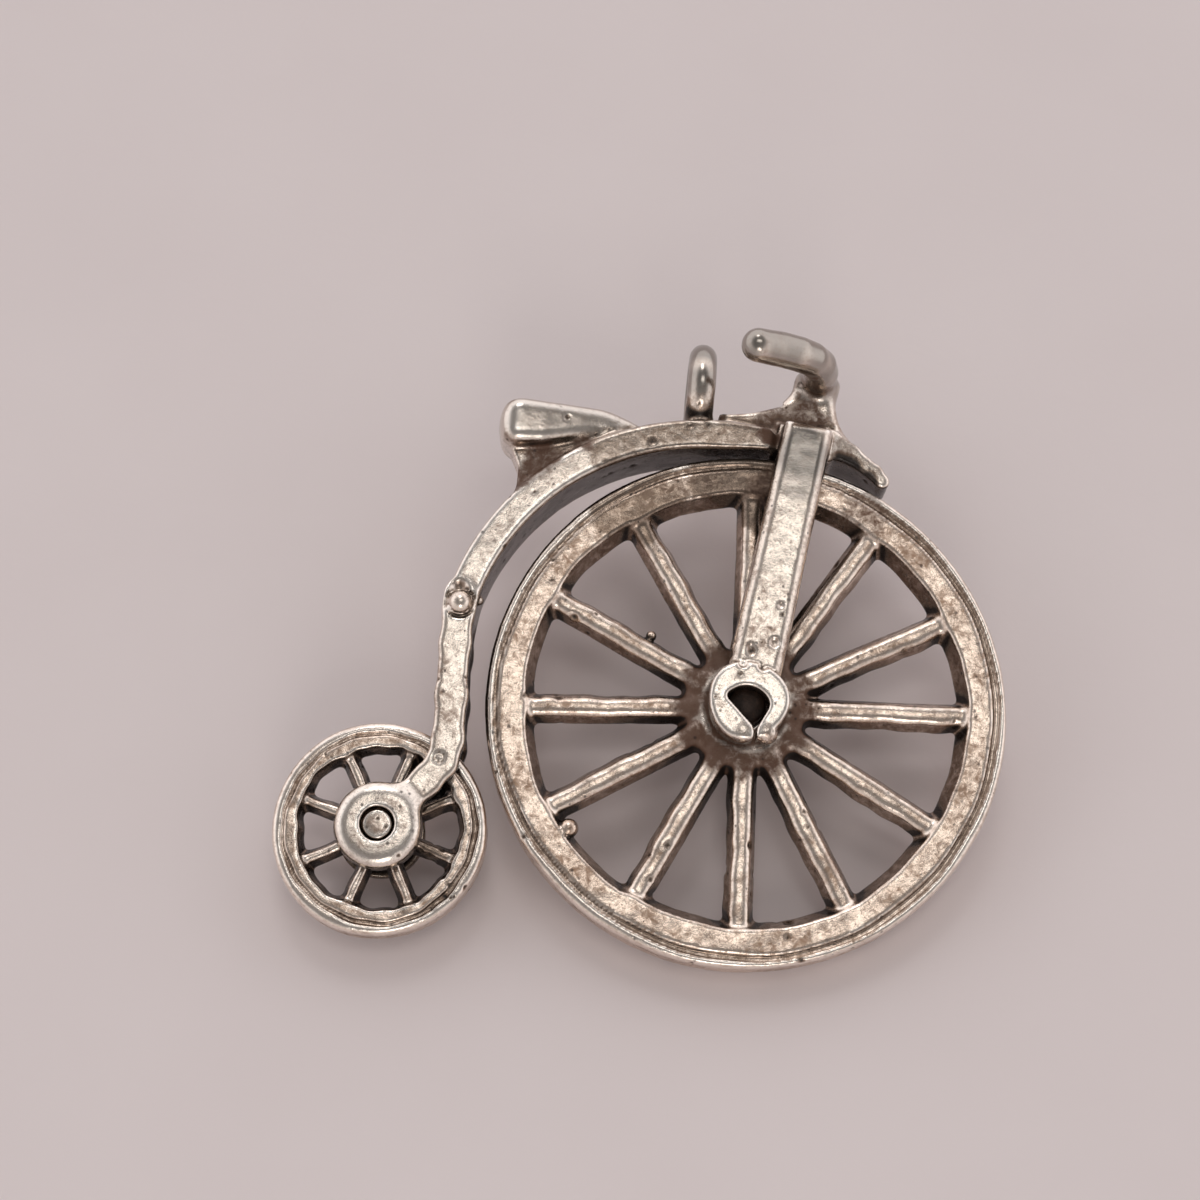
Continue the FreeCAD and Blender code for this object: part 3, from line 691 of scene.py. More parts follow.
@dataclass(frozen=True)
class CastSilver:
    """Sterling silver as lost-wax casting leaves it, worn and never cleaned.

    Gives the eye: bright cream metal on edges and open faces, broken by pinkish grey film and
    dark gas pores, going brown in the dirt and nearly black where it has tarnished in the hollows
    and where shade is painted on side walls and shadowed spots.
    The grain of the mould's plaster is about 0.03 mm, too fine to show, so it is drawn 0.1 mm wide.
    """

    name: str
    bright: str = "#fdf6ee"
    face: str = "#f1e5d9"
    film: str = "#93796a"
    # Grey of buffed places, far darker than bare silver: smoother metal with a painted dim
    # reflection.
    buffed_and_dim_reflection: str = "#8f8b86"
    # Brown of thinly tarnished metal, laid also where painted shade is light.
    haze_and_shade: str = "#857263"
    dirt: str = "#5c3f2e"
    # Near-black of tarnished hollows and pores, laid also where painted shade is deep.
    tarnish: str = "#241c18"
    roughness: float = 0.2
    cloud_mm: float = 1.5
    blotch_mm: float = 0.27
    grain_mm: float = 0.1
    pore_mm: float = 0.24
    relief_mm: float = 0.009
    clean: float = 0.0

    def steps(self) -> tuple[tuple, ...]:
        """The sums that say how much of the metal each layer covers.

        Returns:
            Rows of a name, a step, and what goes in: numbers, or the names of earlier results.
        """
        return (
            # A pore in some of the cells, each with a width of its own, most of them where it
            # clouds, and few where it has been buffed.
            ("width", Step.SCALE_ADD, "breadth", 0.3, 0.1),
            ("bowl", Step.EASE, "middle", "width", 0.02, 0.0, 1.0),
            ("picked", Step.ADD, "chance", "cloud"),
            ("picked", Step.RAMP, "picked", 1.22, 1.32, 0.0, 0.8),
            ("pores", Step.MULTIPLY, "bowl", "picked"),
            ("as_cast", Step.SCALE_ADD, "polish", -0.85, 1.0),
            ("pores", Step.MULTIPLY, "pores", "as_cast"),
            # Film in blotches and specks, gone from the edges.
            ("mottle", Step.SCALE_ADD, "cloud", 0.45, "blotch"),
            ("mottle", Step.SUBTRACT, "mottle", self.clean),
            ("film", Step.EASE, "mottle", 0.63, 0.92, 0.0, 0.9),
            ("speck", Step.EASE, "grain", 0.55, 0.68, 0.0, 0.75),
            ("film", Step.HIGHER, "film", "speck"),
            ("film", Step.MULTIPLY, "film", "as_cast"),
            ("unworn", Step.SCALE_ADD, "worn", -0.9, 1.0),
            ("film", Step.MULTIPLY, "film", "unworn"),
            # Tarnished hollows, painted shade and dirt, with edges broken up by the same blotches.
            ("deep", Step.SCALE_ADD, "blotch", 0.5, "tarnish"),
            ("brown", Step.EASE, "deep", 0.42, 0.72, 0.0, 0.85),
            ("black", Step.EASE, "deep", 0.66, 1.05, 0.0, 1.0),
            ("black", Step.HIGHER, "black", "pores"),
            ("caked", Step.SCALE_ADD, "blotch", 0.9, "grime"),
            ("dirt", Step.EASE, "caked", 0.72, 1.2, 0.0, 0.95),
            # Rougher under film and dirt, and less of a metal where it is covered.
            ("rough", Step.SCALE_ADD, "film", 0.16, self.roughness),
            ("rough", Step.SCALE_ADD, "dirt", 0.25, "rough"),
            ("rough", Step.SCALE_ADD, "polish", -0.02, "rough"),
            ("covered", Step.HIGHER, "black", "dirt"),
            ("bare", Step.SCALE_ADD, "covered", -0.75, 1.0),
            ("height", Step.SCALE_ADD, "blotch", 0.4, "grain"),
            ("height", Step.SUBTRACT, "height", "pores"),
            ("relief", Step.MULTIPLY, "as_cast", 0.7),
        )

    def material(self) -> bpy.types.Material:
        """Builds the material.

        Returns:
            A material that reads the skin's marks from its corners.
        """
        made, tree = new_material(self.name)
        place = add_node(tree, "ShaderNodeTexCoord").outputs["Object"]
        found = {mark.value: add_node(tree, "ShaderNodeAttribute", attribute_name=mark.value)
                 .outputs["Fac"] for mark in Mark}
        for name, size, inputs in (
                ("cloud", self.cloud_mm, {"Detail": 2.0}),
                ("blotch", self.blotch_mm, {"Detail": 9.0, "Roughness": 0.74, "Distortion": 0.35}),
                ("grain", self.grain_mm, {"Detail": 4.0, "Roughness": 0.7})):
            found[name] = add_node(tree, "ShaderNodeTexNoise", {
                "Vector": place, "Scale": MM / size, **inputs}).outputs["Fac"]
        cells = add_node(tree, "ShaderNodeTexVoronoi", {
            "Vector": place, "Scale": MM / self.pore_mm, "Randomness": 1.0})
        drawn = add_node(tree, "ShaderNodeSeparateColor", {0: cells.outputs["Color"]})
        found |= {"middle": cells.outputs["Distance"], "chance": drawn.outputs["Red"],
                  "breadth": drawn.outputs["Green"]}
        for name, step, *given in self.steps():
            kind, setting, choice = step.value
            inputs = {i: found[v] if isinstance(v, str) else v for i, v in enumerate(given)}
            found[name] = add_node(tree, kind, inputs, **{setting: choice}).outputs[0]
        colour = linear(self.face)
        # Layers, in order: worn edges, buffed grey with its painted dim reflection, film, brown of
        # thinly tarnished metal and light painted shade, dirt, and black of tarnished hollows,
        # pores and deep painted shade.
        for name, layer in (("worn", self.bright), ("polish", self.buffed_and_dim_reflection), ("film", self.film),
                            ("brown", self.haze_and_shade), ("dirt", self.dirt), ("black", self.tarnish)):
            colour = add_node(tree, "ShaderNodeMix", {
                0: found[name], 6: colour, 7: linear(layer)}, data_type="RGBA").outputs[2]
        bump = add_node(tree, "ShaderNodeBump", {
            "Strength": found["relief"], "Distance": self.relief_mm / MM,
            "Height": found["height"]})
        shader = add_node(tree, "ShaderNodeBsdfPrincipled", {
            "Base Color": colour, "Metallic": found["bare"], "Roughness": found["rough"],
            "Normal": bump.outputs["Normal"]})
        add_node(tree, "ShaderNodeOutputMaterial", {"Surface": shader.outputs["BSDF"]})
        return made


@dataclass(frozen=True)
class StudioPaper:
    """Uncoated paper, rolled out under the charm: pale pinkish grey with a faint tooth."""

    name: str = "studio_paper"
    pale: str = "#e9e0e0"
    shade: str = "#e3d9d9"
    cloud_mm: float = 9.0
    tooth_mm: float = 0.5
    tooth_deep_mm: float = 0.05

    def material(self) -> bpy.types.Material:
        """Builds the material.

        Returns:
            A material for the floor.
        """
        made, tree = new_material(self.name)
        place = add_node(tree, "ShaderNodeTexCoord").outputs["Object"]
        cloud = add_node(tree, "ShaderNodeTexNoise", {
            "Vector": place, "Scale": MM / self.cloud_mm, "Detail": 3.0})
        tooth = add_node(tree, "ShaderNodeTexNoise", {
            "Vector": place, "Scale": MM / self.tooth_mm, "Detail": 3.0})
        colour = add_node(tree, "ShaderNodeMix", {
            0: cloud.outputs["Fac"], 6: linear(self.pale), 7: linear(self.shade)},
            data_type="RGBA").outputs[2]
        bump = add_node(tree, "ShaderNodeBump", {
            "Strength": 0.15, "Distance": self.tooth_deep_mm / MM, "Height": tooth.outputs["Fac"]})
        shader = add_node(tree, "ShaderNodeBsdfPrincipled", {
            "Base Color": colour, "Roughness": 0.9, "Specular IOR Level": 0.2,
            "Normal": bump.outputs["Normal"]})
        add_node(tree, "ShaderNodeOutputMaterial", {"Surface": shader.outputs["BSDF"]})
        return made


# --- pieces -------------------------------------------------------------------------------


def put(name: str, skin: Skin, charm: CharmFrame, body: str, finish: bpy.types.Material,
        nodes: list[str]) -> bpy.types.Object:
    """Makes a piece of a skin and hands it to the frame.

    Args:
        name: The piece's name.
        skin: Its surface.
        charm: The charm's frame.
        body: The body that it rides.
        finish: Its material.
        nodes: The CAD nodes that it stands for.

    Returns:
        The new object.
    """
    mesh = bpy.data.meshes.new(name)
    count = len(skin.faces)
    mesh.vertices.add(len(skin.points))
    mesh.vertices.foreach_set("co", charm.outward(skin.points).ravel())
    mesh.loops.add(count * 4)
    mesh.loops.foreach_set("vertex_index", skin.faces.ravel().astype(np.int32))
    mesh.polygons.add(count)
    mesh.polygons.foreach_set("loop_start", np.arange(0, count * 4, 4, dtype=np.int32))
    mesh.polygons.foreach_set("use_smooth", np.ones(count, bool))
    mesh.update(calc_edges=True)
    for mark, levels in skin.marks.items():
        kept = mesh.attributes.new(mark.value, "FLOAT", "POINT")
        kept.data.foreach_set("value", levels.astype(np.float32))
    mesh.materials.append(finish)
    piece = bpy.data.objects.new(name, mesh)
    bpy.context.scene.collection.objects.link(piece)
    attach(piece, body)
    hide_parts(*nodes)
    LOG.info("%s: %d corners, %d faces, on %s", name, len(skin.points), count, body)
    return piece


@dataclass
class SpokeSize:
    """A drafted spoke's section, in halves."""

    half: float
    crest: float
    depth: float


@dataclass
class WheelCasting:
    """A spoked wheel cast in one: tyre, felloe, spokes and hub."""

    end: End
    centre: Pair
    radius: float
    half: float
    seam: float
    inner: float
    draft: float
    hub: float
    hub_half: float
    bore: float
    turns: list[float]
    spoke: SpokeSize
    pitch: float
    groove: float
    beads: tuple[tuple[float, float, float, float], ...] = ()
    patches: tuple[Patch, ...] = ()

    @classmethod
    def from_frame(cls, charm: CharmFrame, end: End, spoke: SpokeSize, pitch: float,
                   groove: float) -> WheelCasting:
        """Measures a wheel's CAD nodes.

        Args:
            charm: The charm's frame.
            end: Which wheel.
            spoke: Its spokes' section.
            pitch: Distance between the points of the casting's grid.
            groove: Depth of the groove between tyre and felloe.

        Returns:
            The wheel, sized as the nodes are.
        """
        tyre, felloe, spokes, hub = (charm.node(f"{end.value}_{part}")
                                     for part in ("tyre", "felloe", "spokes", "hub"))
        middle = (tyre.min(0) + tyre.max(0)) / 2
        cx, cy = float(middle[0]), float(middle[1])
        out, away, bore = (np.hypot(p[:, 0] - cx, p[:, 1] - cy) for p in (tyre, felloe, hub))
        half = float(tyre[:, 2].max())
        face = np.abs(felloe[:, 2]) > half - 0.02
        reach = np.hypot(spokes[:, 0] - cx, spokes[:, 1] - cy)
        tips = spokes[reach > reach.max() - 0.35]
        angles = np.sort(np.degrees(np.arctan2(tips[:, 1] - cy, tips[:, 0] - cx)) % 360)
        groups = np.split(angles, np.flatnonzero(np.diff(angles) > SPOKES_APART) + 1)
        if angles[0] + 360 - angles[-1] < SPOKES_APART:
            groups[0] = np.concatenate((groups[0], groups.pop() - 360))
        turns = [float((g.min() + g.max()) / 2) for g in groups]
        return cls(end, (cx, cy), float(out.max()), half, float(away.max()),
                   float(away[face].min()), float(away[face].min() - away.min()),
                   float(bore.max()), float(hub[:, 2].max()), float(bore.min()), turns,
                   spoke, pitch, groove)

    def polar(self, x: Array, y: Array) -> tuple[Array, Array]:
        """Distance from the wheel's middle, and the angle round it."""
        dx, dy = x - self.centre[0], y - self.centre[1]
        return np.hypot(dx, dy), np.arctan2(dy, dx)

    def spot(self, out: float, angle: float, height: float) -> Triple:
        """Finds a place by its turn round the wheel.

        Args:
            out: Distance from the wheel's middle.
            angle: Degrees above forward.
            height: Distance across the bicycle.

        Returns:
            The place.
        """
        turn = math.radians(angle)
        return (self.centre[0] + out * math.cos(turn), self.centre[1] + out * math.sin(turn),
                height)

    def _rim(self, x: Array, y: Array, z: Array) -> Array:
        """Tyre and felloe, with the felloe's inner side standing in towards its middle.

        Args:
            x: Places' first coordinate.
            y: Their second.
            z: Their third.

        Returns:
            Their distances from its surface.
        """
        away, angle = self.polar(x, y)
        wave = 0.035 * np.sin(angle * 5 + 1) + 0.025 * np.sin(angle * 11)
        wave = wave + 0.015 * np.sin(angle * 23)
        inside = self.inner + wave - self.draft * (1 - np.abs(z) / self.half) - away
        tread = away - self.radius - 0.02 * np.sin(angle * 3 + 2)
        tyre = shared(tread, np.abs(z) - self.half, 0.26)
        return shared(tyre, inside, 0.07)

    def _spoke(self, angle: float) -> Distance:
        """One drafted spoke with a narrow flat crest, which runs in over the hub.

        Args:
            angle: Its direction, in degrees above forward.

        Returns:
            Distance from the spoke.
        """
        size = self.spoke
        lean = (size.half - size.crest) / size.depth

        def shape(x: Array, y: Array, z: Array) -> Array:
            """The spoke, a little uneven along its length.

            Args:
                x: Places' first coordinate.
                y: Their second.
                z: Their third.

            Returns:
                Their distances from its surface.
            """
            along, aside = turned(x - self.centre[0], y - self.centre[1], angle)
            thin = 0.012 * np.sin(along * 1.9 + angle) + 0.008 * np.sin(along * 5.3 + angle * 2)
            sides = np.abs(aside + thin) - size.half - thin + np.abs(z) * lean
            sides = sides / math.hypot(1, lean)
            crown = np.abs(z) - size.depth - thin
            bar = shared(sides, crown, size.crest * 0.8)
            return shared(bar, np.maximum(self.hub * 0.7 - along, along - self.seam), 0.1)

        return shape

    def _grooves(self, x: Array, y: Array, z: Array) -> Array:
        """An uneven groove on each face where the tyre meets the felloe.

        Args:
            x: Places' first coordinate.
            y: Their second.
            z: Their third.

        Returns:
            Their distances from the grooves.
        """
        away, angle = self.polar(x, y)
        wander = 0.03 * np.sin(angle * 4 + 0.5) + 0.015 * np.sin(angle * 17)
        strong = 0.95 + 0.2 * np.cos(angle + 0.35) + 0.14 * np.sin(angle * 7 + 1)
        cleft = np.hypot(away - self.seam - wander, np.abs(z) - self.half)
        return cleft - self.groove * strong

    def cast(self) -> Casting:
        """Runs the wheel's members together.

        Returns:
            The casting.
        """
        cx, cy = self.centre
        deep = max(self.half, self.hub_half)
        reach = self.radius + 0.5
        low, high = (cx - reach, cy - reach, -deep - 0.5), (cx + reach, cy + reach, deep + 0.5)
        casting = Casting(low, high, self.pitch)
        far = 2 * FAR
        low, high = tuple(np.array(low) - far), tuple(np.array(high) + far)
        casting.add(low, high, self._rim)
        wide = self.hub + 1.6
        middle = ((cx - wide, cy - wide, low[2]), (cx + wide, cy + wide, high[2]))

        def boss(x: Array, y: Array, z: Array) -> Array:
            """The hub, sloping away outside its middle.

            Args:
                x: Places' first coordinate.
                y: Their second.
                z: Their third.

            Returns:
                Their distances from its surface.
            """
            away, angle = self.polar(x, y)
            face = self.hub_half - 0.06 - 0.16 * np.clip(away - 0.6 * self.hub, 0, 1)
            return slab(away - self.hub - 0.04 * np.sin(angle * 7), z, face, 0.22)

        casting.add(*middle, boss)
        for angle in self.turns:
            ends = [self.spot(self.hub * 0.5, angle, -deep), self.spot(self.seam, angle, deep)]
            casting.add(*around(ends, 1.4), self._spoke(angle), 0.22)
        casting.cut(low, high, self._grooves, 0.05)
        for out, angle, height, size in self.beads:
            spot = self.spot(out, angle, height)
            casting.add(*around([spot], 1.0), lambda x, y, z, p=spot, r=size: ball(x, y, z, p, r),
                        0.08)
        casting.cut(*middle, lambda x, y, z: self.polar(x, y)[0] - self.bore, 0.05)
        return casting

    def make(self, charm: CharmFrame, finish: bpy.types.Material, pits: Pitting,
             seed: int) -> bpy.types.Object:
        """Builds the wheel's piece.

        Args:
            charm: The charm's frame.
            finish: The wheel's material.
            pits: The pits in its surface.
            seed: Number that its unevenness is drawn from.

        Returns:
            The wheel's object.
        """
        skin = self.cast().skin()
        lumps = Lumps(seed)
        away, _ = self.polar(skin.points[:, 0], skin.points[:, 1])
        caked = rise(away / self.hub, 1.45, 1.0) * (0.82 + 0.2 * lumps.at(skin.points, 0.7))
        skin.deepen(Mark.GRIME, caked * (1 - 0.45 * skin.marks[Mark.WORN]))
        for patch in self.patches:
            patch.paint(skin, lumps)
        skin.roughen(lumps, 0.015, 0.007)
        pits.carve(skin, seed)
        name = self.end.value
        parts = ("tyre", "felloe", "spokes", "hub")
        return put(f"{name}_wheel_casting", skin, charm, f"{name}_wheel", finish,
                   [f"{name}_{part}" for part in parts])


@dataclass
class PinEnds:
    """A cut pin of silver wire with hammered ends."""

    node: str
    body: str
    centre: Pair
    radius: float
    reach: float
    dome: float
    grime: float

    @classmethod
    def from_frame(cls, charm: CharmFrame, node: str, body: str, dome: float,
                   grime: float) -> PinEnds:
        """Measures a pin's CAD node.

        Args:
            charm: The charm's frame.
            node: The node's name.
            body: The body that the pin rides.
            dome: How far its ends bulge.
            grime: How dirty they are, from 0 to 1.

        Returns:
            The pin, sized as the node is.
        """
        pin = charm.node(node)
        low, high = pin.min(0), pin.max(0)
        centre = (float(low[0] + high[0]) / 2, float(low[1] + high[1]) / 2)
        return cls(node, body, centre, float(high[0] - low[0]) / 2, float(high[2]), dome, grime)

    def make(self, charm: CharmFrame, finish: bpy.types.Material, seed: int) -> bpy.types.Object:
        """Builds the pin's piece.

        Args:
            charm: The charm's frame.
            finish: The pin's material.
            seed: Number that its unevenness is drawn from.

        Returns:
            The pin's object.
        """
        cx, cy = self.centre
        low, high = around([(cx, cy, -self.reach), (cx, cy, self.reach)], self.radius + 0.4)
        casting = Casting(low, high, 0.04)

        def shape(x: Array, y: Array, z: Array) -> Array:
            """The pin, with domed ends.

            Args:
                x: Places' first coordinate.
                y: Their second.
                z: Their third.

            Returns:
                Their distances from its surface.
            """
            away = np.hypot(x - cx, y - cy)
            crown = np.abs(z) - self.reach + self.dome * (away / self.radius) ** 2
            return shared(away - self.radius + 0.015, crown, 0.1)

        casting.add(low, high, shape)
        skin = casting.skin()
        skin.marks[Mark.TARNISH][:] = 0.75 * self.grime
        skin.deepen(Mark.GRIME, np.full(len(skin.points), self.grime))
        skin.roughen(Lumps(seed), 0.01, 0.014)
        Pitting(12, 0.07, 0.13, 0.35).carve(skin, seed)
        return put(f"{self.node}_wire", skin, charm, self.body, finish, [self.node])


@dataclass
class FrameCasting:
    """Everything that doesn't turn, cast in one."""

    charm: CharmFrame
    lean: float
    tyre: float
    tyre_half: float
    rear_axle: Pair
    rear_tyre: float
    fork_top: float
    crown_half: float
    crown_deep: float
    blade_out: float
    bar_out: Pair
    bar_drops: dict[Side, float]
    blade_half: float = 0.81
    foot_half: float = 0.89
    bevel: float = 0.24
    eye: float = 1.28
    eye_thick: float = 0.9
    arc_centre: Pair = (-1.49, 0.8)
    arc: float = 8.14
    bar_width: float = 0.5
    bar_deep: float = 1.2
    knuckle: float = 170.5
    leg_half: float = 0.48
    leg_in: float = 0.74
    rear_eye: float = 1.4
    rear_eye_out: float = 1.5
    stem_height: float = 1.9
    bail_ring: float = 1.08
    bail_wire: float = 0.46
    bail_hole: float = 0.7
    bail_x: float = -2.3
    pitch: float = 0.075

    @classmethod
    def from_frame(cls, charm: CharmFrame) -> FrameCasting:
        """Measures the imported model.

        Args:
            charm: The charm's frame.

        Returns:
            The casting, placed by the wheels, the crown, the blades and the handlebar's tips.
        """
        tyre = charm.node("front_tyre")
        rear = charm.node("rear_tyre")
        blade = charm.node("fork_blade_right")
        top = blade[blade[:, 1] > blade[:, 1].max() - 1.0]
        middle = (top.min(0) + top.max(0)) / 2
        lean = round(math.degrees(math.atan2(middle[0], middle[1])), 1)
        upright = math.radians(lean)
        crown = charm.node("crown")
        across = crown[:, 0] * math.cos(upright) - crown[:, 1] * math.sin(upright)
        upward = crown[:, 0] * math.sin(upright) + crown[:, 1] * math.cos(upright)
        centre = (rear.min(0) + rear.max(0)) / 2
        arms = {side: charm.node(f"handlebar_{side.name.lower()}") for side in Side}
        drops = {}
        for side, arm in arms.items():
            high = arm[:, 0] * math.sin(upright) + arm[:, 1] * math.cos(upright)
            tip = np.abs(arm[:, 2]) > np.abs(arm[:, 2]).max() - 0.05
            drops[side] = float(high.max() - HANDLEBAR_RADIUS - high[tip].mean())
        left = arms[Side.LEFT]
        forward = left[:, 0] * math.cos(upright) - left[:, 1] * math.sin(upright)
        reach = (float(-forward.min() - HANDLEBAR_RADIUS),
                 float(np.abs(left[:, 2]).max() - HANDLEBAR_RADIUS))
        return cls(charm, lean, float(np.hypot(tyre[:, 0], tyre[:, 1]).max()),
                   float(tyre[:, 2].max()), (float(centre[0]), float(centre[1])),
                   float(rear[:, 0].max() - centre[0]), float(upward.max()),
                   float(across.max()), float(crown[:, 2].max()), float(blade[:, 2].max()),
                   reach, drops)

    def up_fork(self, x: Array, y: Array) -> tuple[Array, Array]:
        """Coordinates forward of the leaning fork's middle and up it."""
        return turned(x, y, -self.lean)

    def from_fork(self, forward: float, up: float, z: float) -> Triple:
        """The charm's coordinates of a place given in the fork's."""
        c, s = math.cos(math.radians(self.lean)), math.sin(math.radians(self.lean))
        return forward * c + up * s, up * c - forward * s, z

    def on_arc(self, angle: float, beyond: float = 0.0) -> Pair:
        """Finds a place on the backbone's centre line, or some way outside it.

        Args:
            angle: Degrees above forward, seen from the arc's centre.
            beyond: How far outside the line.

        Returns:
            The place, seen from the side.
        """
        c, s = math.cos(math.radians(angle)), math.sin(math.radians(angle))
        reach = self.arc + beyond
        return self.arc_centre[0] + reach * c, self.arc_centre[1] + reach * s

    def wheels(self, x: Array, y: Array, z: Array) -> Array:
        """Distance from the two wheels, which shelter the frame from the polishing mop.

        Args:
            x: Places' first coordinate.
            y: Their second.
            z: Their third.

        Returns:
            Their distances from the nearer wheel.
        """
        front = np.maximum(np.hypot(x, y) - self.tyre, np.abs(z) - self.tyre_half)
        rear = np.hypot(x - self.rear_axle[0], y - self.rear_axle[1]) - self.rear_tyre
        return np.minimum(front, np.maximum(rear, np.abs(z) - self.tyre_half))

    def _backbone(self, casting: Casting) -> None:
        """The curved bar from the crown to the rear fork.

        Args:
            casting: The casting that it is run into.
        """
        cx, cy = self.arc_centre
        last = math.radians(self.knuckle + 1.5)

        def shape(x: Array, y: Array, z: Array) -> Array:
            """The bar, squared off at its ends and cleared over the tyre.

            Args:
                x: Places' first coordinate.
                y: Their second.
                z: Their third.

            Returns:
                Their distances from its surface.
            """
            away = np.hypot(x - cx, y - cy) - self.arc
            bar = shared(np.abs(away) - self.bar_width, np.abs(z) - self.bar_deep, 0.2)
            tail = (x - cx) * -math.sin(last) + (y - cy) * math.cos(last)
            forward, _ = self.up_fork(x, y)
            bar = shared(bar, tail, 0.3)
            bar = shared(bar, forward + self.crown_half + 0.04, 0.35)
            return shared(bar, self.tyre + 0.17 - np.hypot(x, y), 0.1)

        low = (cx - self.arc - 2, 0.3, -self.bar_deep - 1.8)
        casting.add(low, (1.8, cy + self.arc + 2.2, self.bar_deep + 1.8), shape)

    def _rear_fork(self, casting: Casting) -> None:
        """Two legs bent at the knee, the web between them and an eye on each.

        Args:
            casting: The casting that it is run into.
        """
        top = self.on_arc(self.knuckle - 4, 0.1)
        ax, ay = self.rear_axle
        path = [top, (ax + 1.8, ay + 6.1), (ax + 1.86, ay + 4.4), (ax + 1.9, ay + 2.95),
                (ax + 1.8, ay + 2.2), (ax + 1.36, ay + 1.57), (ax + 0.4, ay + 0.5)]
        half = self.leg_half
        halves = [half + 0.04, half, half + 0.01, half, half - 0.02, half - 0.02, half]

        def legs(x: Array, y: Array, z: Array) -> Array:
            """Both legs, from the backbone to the axle.

            Args:
                x: Places' first coordinate.
                y: Their second.
                z: Their third.

            Returns:
                Their distances from its surface.
            """
            flat = run(x, y, path, halves, 0.25)
            middle = (self.leg_in + self.bar_deep) / 2
            thick = (self.bar_deep - self.leg_in) / 2
            return slab(flat, np.abs(z) - middle, thick + 0.03, 0.15)

        def web(x: Array, y: Array, z: Array) -> Array:
            """The metal between the legs, above the wheel.

            Args:
                x: Places' first coordinate.
                y: Their second.
                z: Their third.

            Returns:
                Their distances from its surface.
            """
            flat = run(x, y, path[:5], halves[:5], 0.25) + 0.08
            clear = 3.8 - np.hypot(x - ax, y - ay)
            return slab(shared(flat, clear, 0.2), z, self.leg_in + 0.15, 0.05)

        def eyes(x: Array, y: Array, z: Array) -> Array:
            """Both eyes, rounded over outside.

            Args:
                x: Places' first coordinate.
                y: Their second.
                z: Their third.

            Returns:
                Their distances from its surface.
            """
            away = np.hypot(x - ax, y - ay)
            cheek = shared(away - self.rear_eye, np.abs(z) - self.rear_eye_out, 0.5)
            return np.maximum(cheek, self.leg_in - np.abs(z))

        low, high = around([(ax, ay, -1.5), (top[0], top[1], 1.5)], 2.8)
        casting.add(low, high, web, 0.25)
        casting.add(low, high, legs, 0.15)
        near = around([(ax, ay, -1.5), (ax, ay, 1.5)], 3.0)
        casting.add(*near, eyes, 0.4)
        casting.cut(*near, lambda x, y, z: np.maximum(
            np.hypot(x - ax, y - ay) - 0.555, self.rear_eye_out - 0.35 - np.abs(z)), 0.05)
        casting.cut(*near, lambda x, y, z: np.hypot(x - ax, y - ay) - 0.485)

    def _step(self, casting: Casting) -> None:
        """The mounting step's bead, in a shallow ring of its own.

        Args:
            casting: The casting that it is run into.
        """
        x0, y0 = self.on_arc(self.knuckle - 2)
        face = self.bar_deep
        box = around([(x0, y0, face)], 1.4)
        casting.cut(*box, lambda x, y, z: ball(
            x, y, z, (x0 - 0.1, y0 + 0.5, face + 0.16), 0.3), 0.15)
        casting.cut(*box, lambda x, y, z: np.hypot(
            np.hypot(x - x0, y - y0) - 0.47, z - face) - 0.05, 0.06)
        casting.add(*box, lambda x, y, z: ball(x, y, z, (x0, y0, face - 0.06), 0.39), 0.04)
        casting.add(*box, lambda x, y, z: ball(
            x, y, z, (x0 - 0.3, y0 - 0.24, face - 0.04), 0.14), 0.04)

    def _front_fork(self, casting: Casting) -> None:
        """The crown and two bevelled blades that taper towards it.

        Args:
            casting: The casting that it is run into.
        """
        inner = self.crown_deep
        top = self.fork_top

        def crown(x: Array, y: Array, z: Array) -> Array:
            """The block over the tyre.

            Args:
                x: Places' first coordinate.
                y: Their second.
                z: Their third.

            Returns:
                Their distances from its surface.
            """
            forward, up = self.up_fork(x, y)
            under = self.tyre + 0.3 - np.hypot(x, y)
            flat = shared(np.abs(forward) - self.crown_half, np.maximum(up - top, under), 0.1)
            return slab(flat, z, inner + 0.1, 0.04)

        def blades(x: Array, y: Array, z: Array) -> Array:
            """Both blades, bevelled along their outer edges and over their tops.

            Args:
                x: Places' first coordinate.
                y: Their second.
                z: Their third.

            Returns:
                Their distances from its surface.
            """
            forward, up = self.up_fork(x, y)
            half = self.foot_half + (self.blade_half - self.foot_half) * up / top
            flat = shared(np.abs(forward) - half, np.maximum(up - top, 0.35 - up), 0.14)
            out = np.abs(z) - self.blade_out
            chamfer = (np.abs(forward) - half + out + self.bevel) * math.sqrt(0.5)
            crest = (up - top + out + self.bevel * 0.7) * math.sqrt(0.5)
            solid = shared(shared(flat, out, 0.04), np.maximum(chamfer, crest), 0.1)
            return shared(solid, inner + 0.01 - np.abs(z), 0.04)

        low, high = around([(0.0, 0.0, -1.75), self.from_fork(0, top, 1.75)], 2.0)
        casting.add(low, high, crown, 0.2)
        casting.add(low, high, blades, 0.08)
        for forward, up, reach in ((0.42, 2.05, 0.2), (0.35, 3.3, 0.12), (-0.3, 1.75, 0.12)):
            spot = self.from_fork(forward, up, self.blade_out + reach * 0.45)
            casting.cut(*around([spot], 0.6),
                        lambda x, y, z, p=spot, r=reach: ball(x, y, z, p, r), 0.05)

    def _front_eyes(self, casting: Casting) -> None:
        """Eyes crimped round the axle: each a ring whose ends meet at a slit.

        Args:
            casting: The casting that it is run into.
        """
        inner, outer = self.crown_deep, self.crown_deep + self.eye_thick
        tip, foot = (0.4, -0.7), (0.44, -1.8)
        box = around([(0.0, 0.0, -outer), (0.0, 0.0, outer)], 2.2)

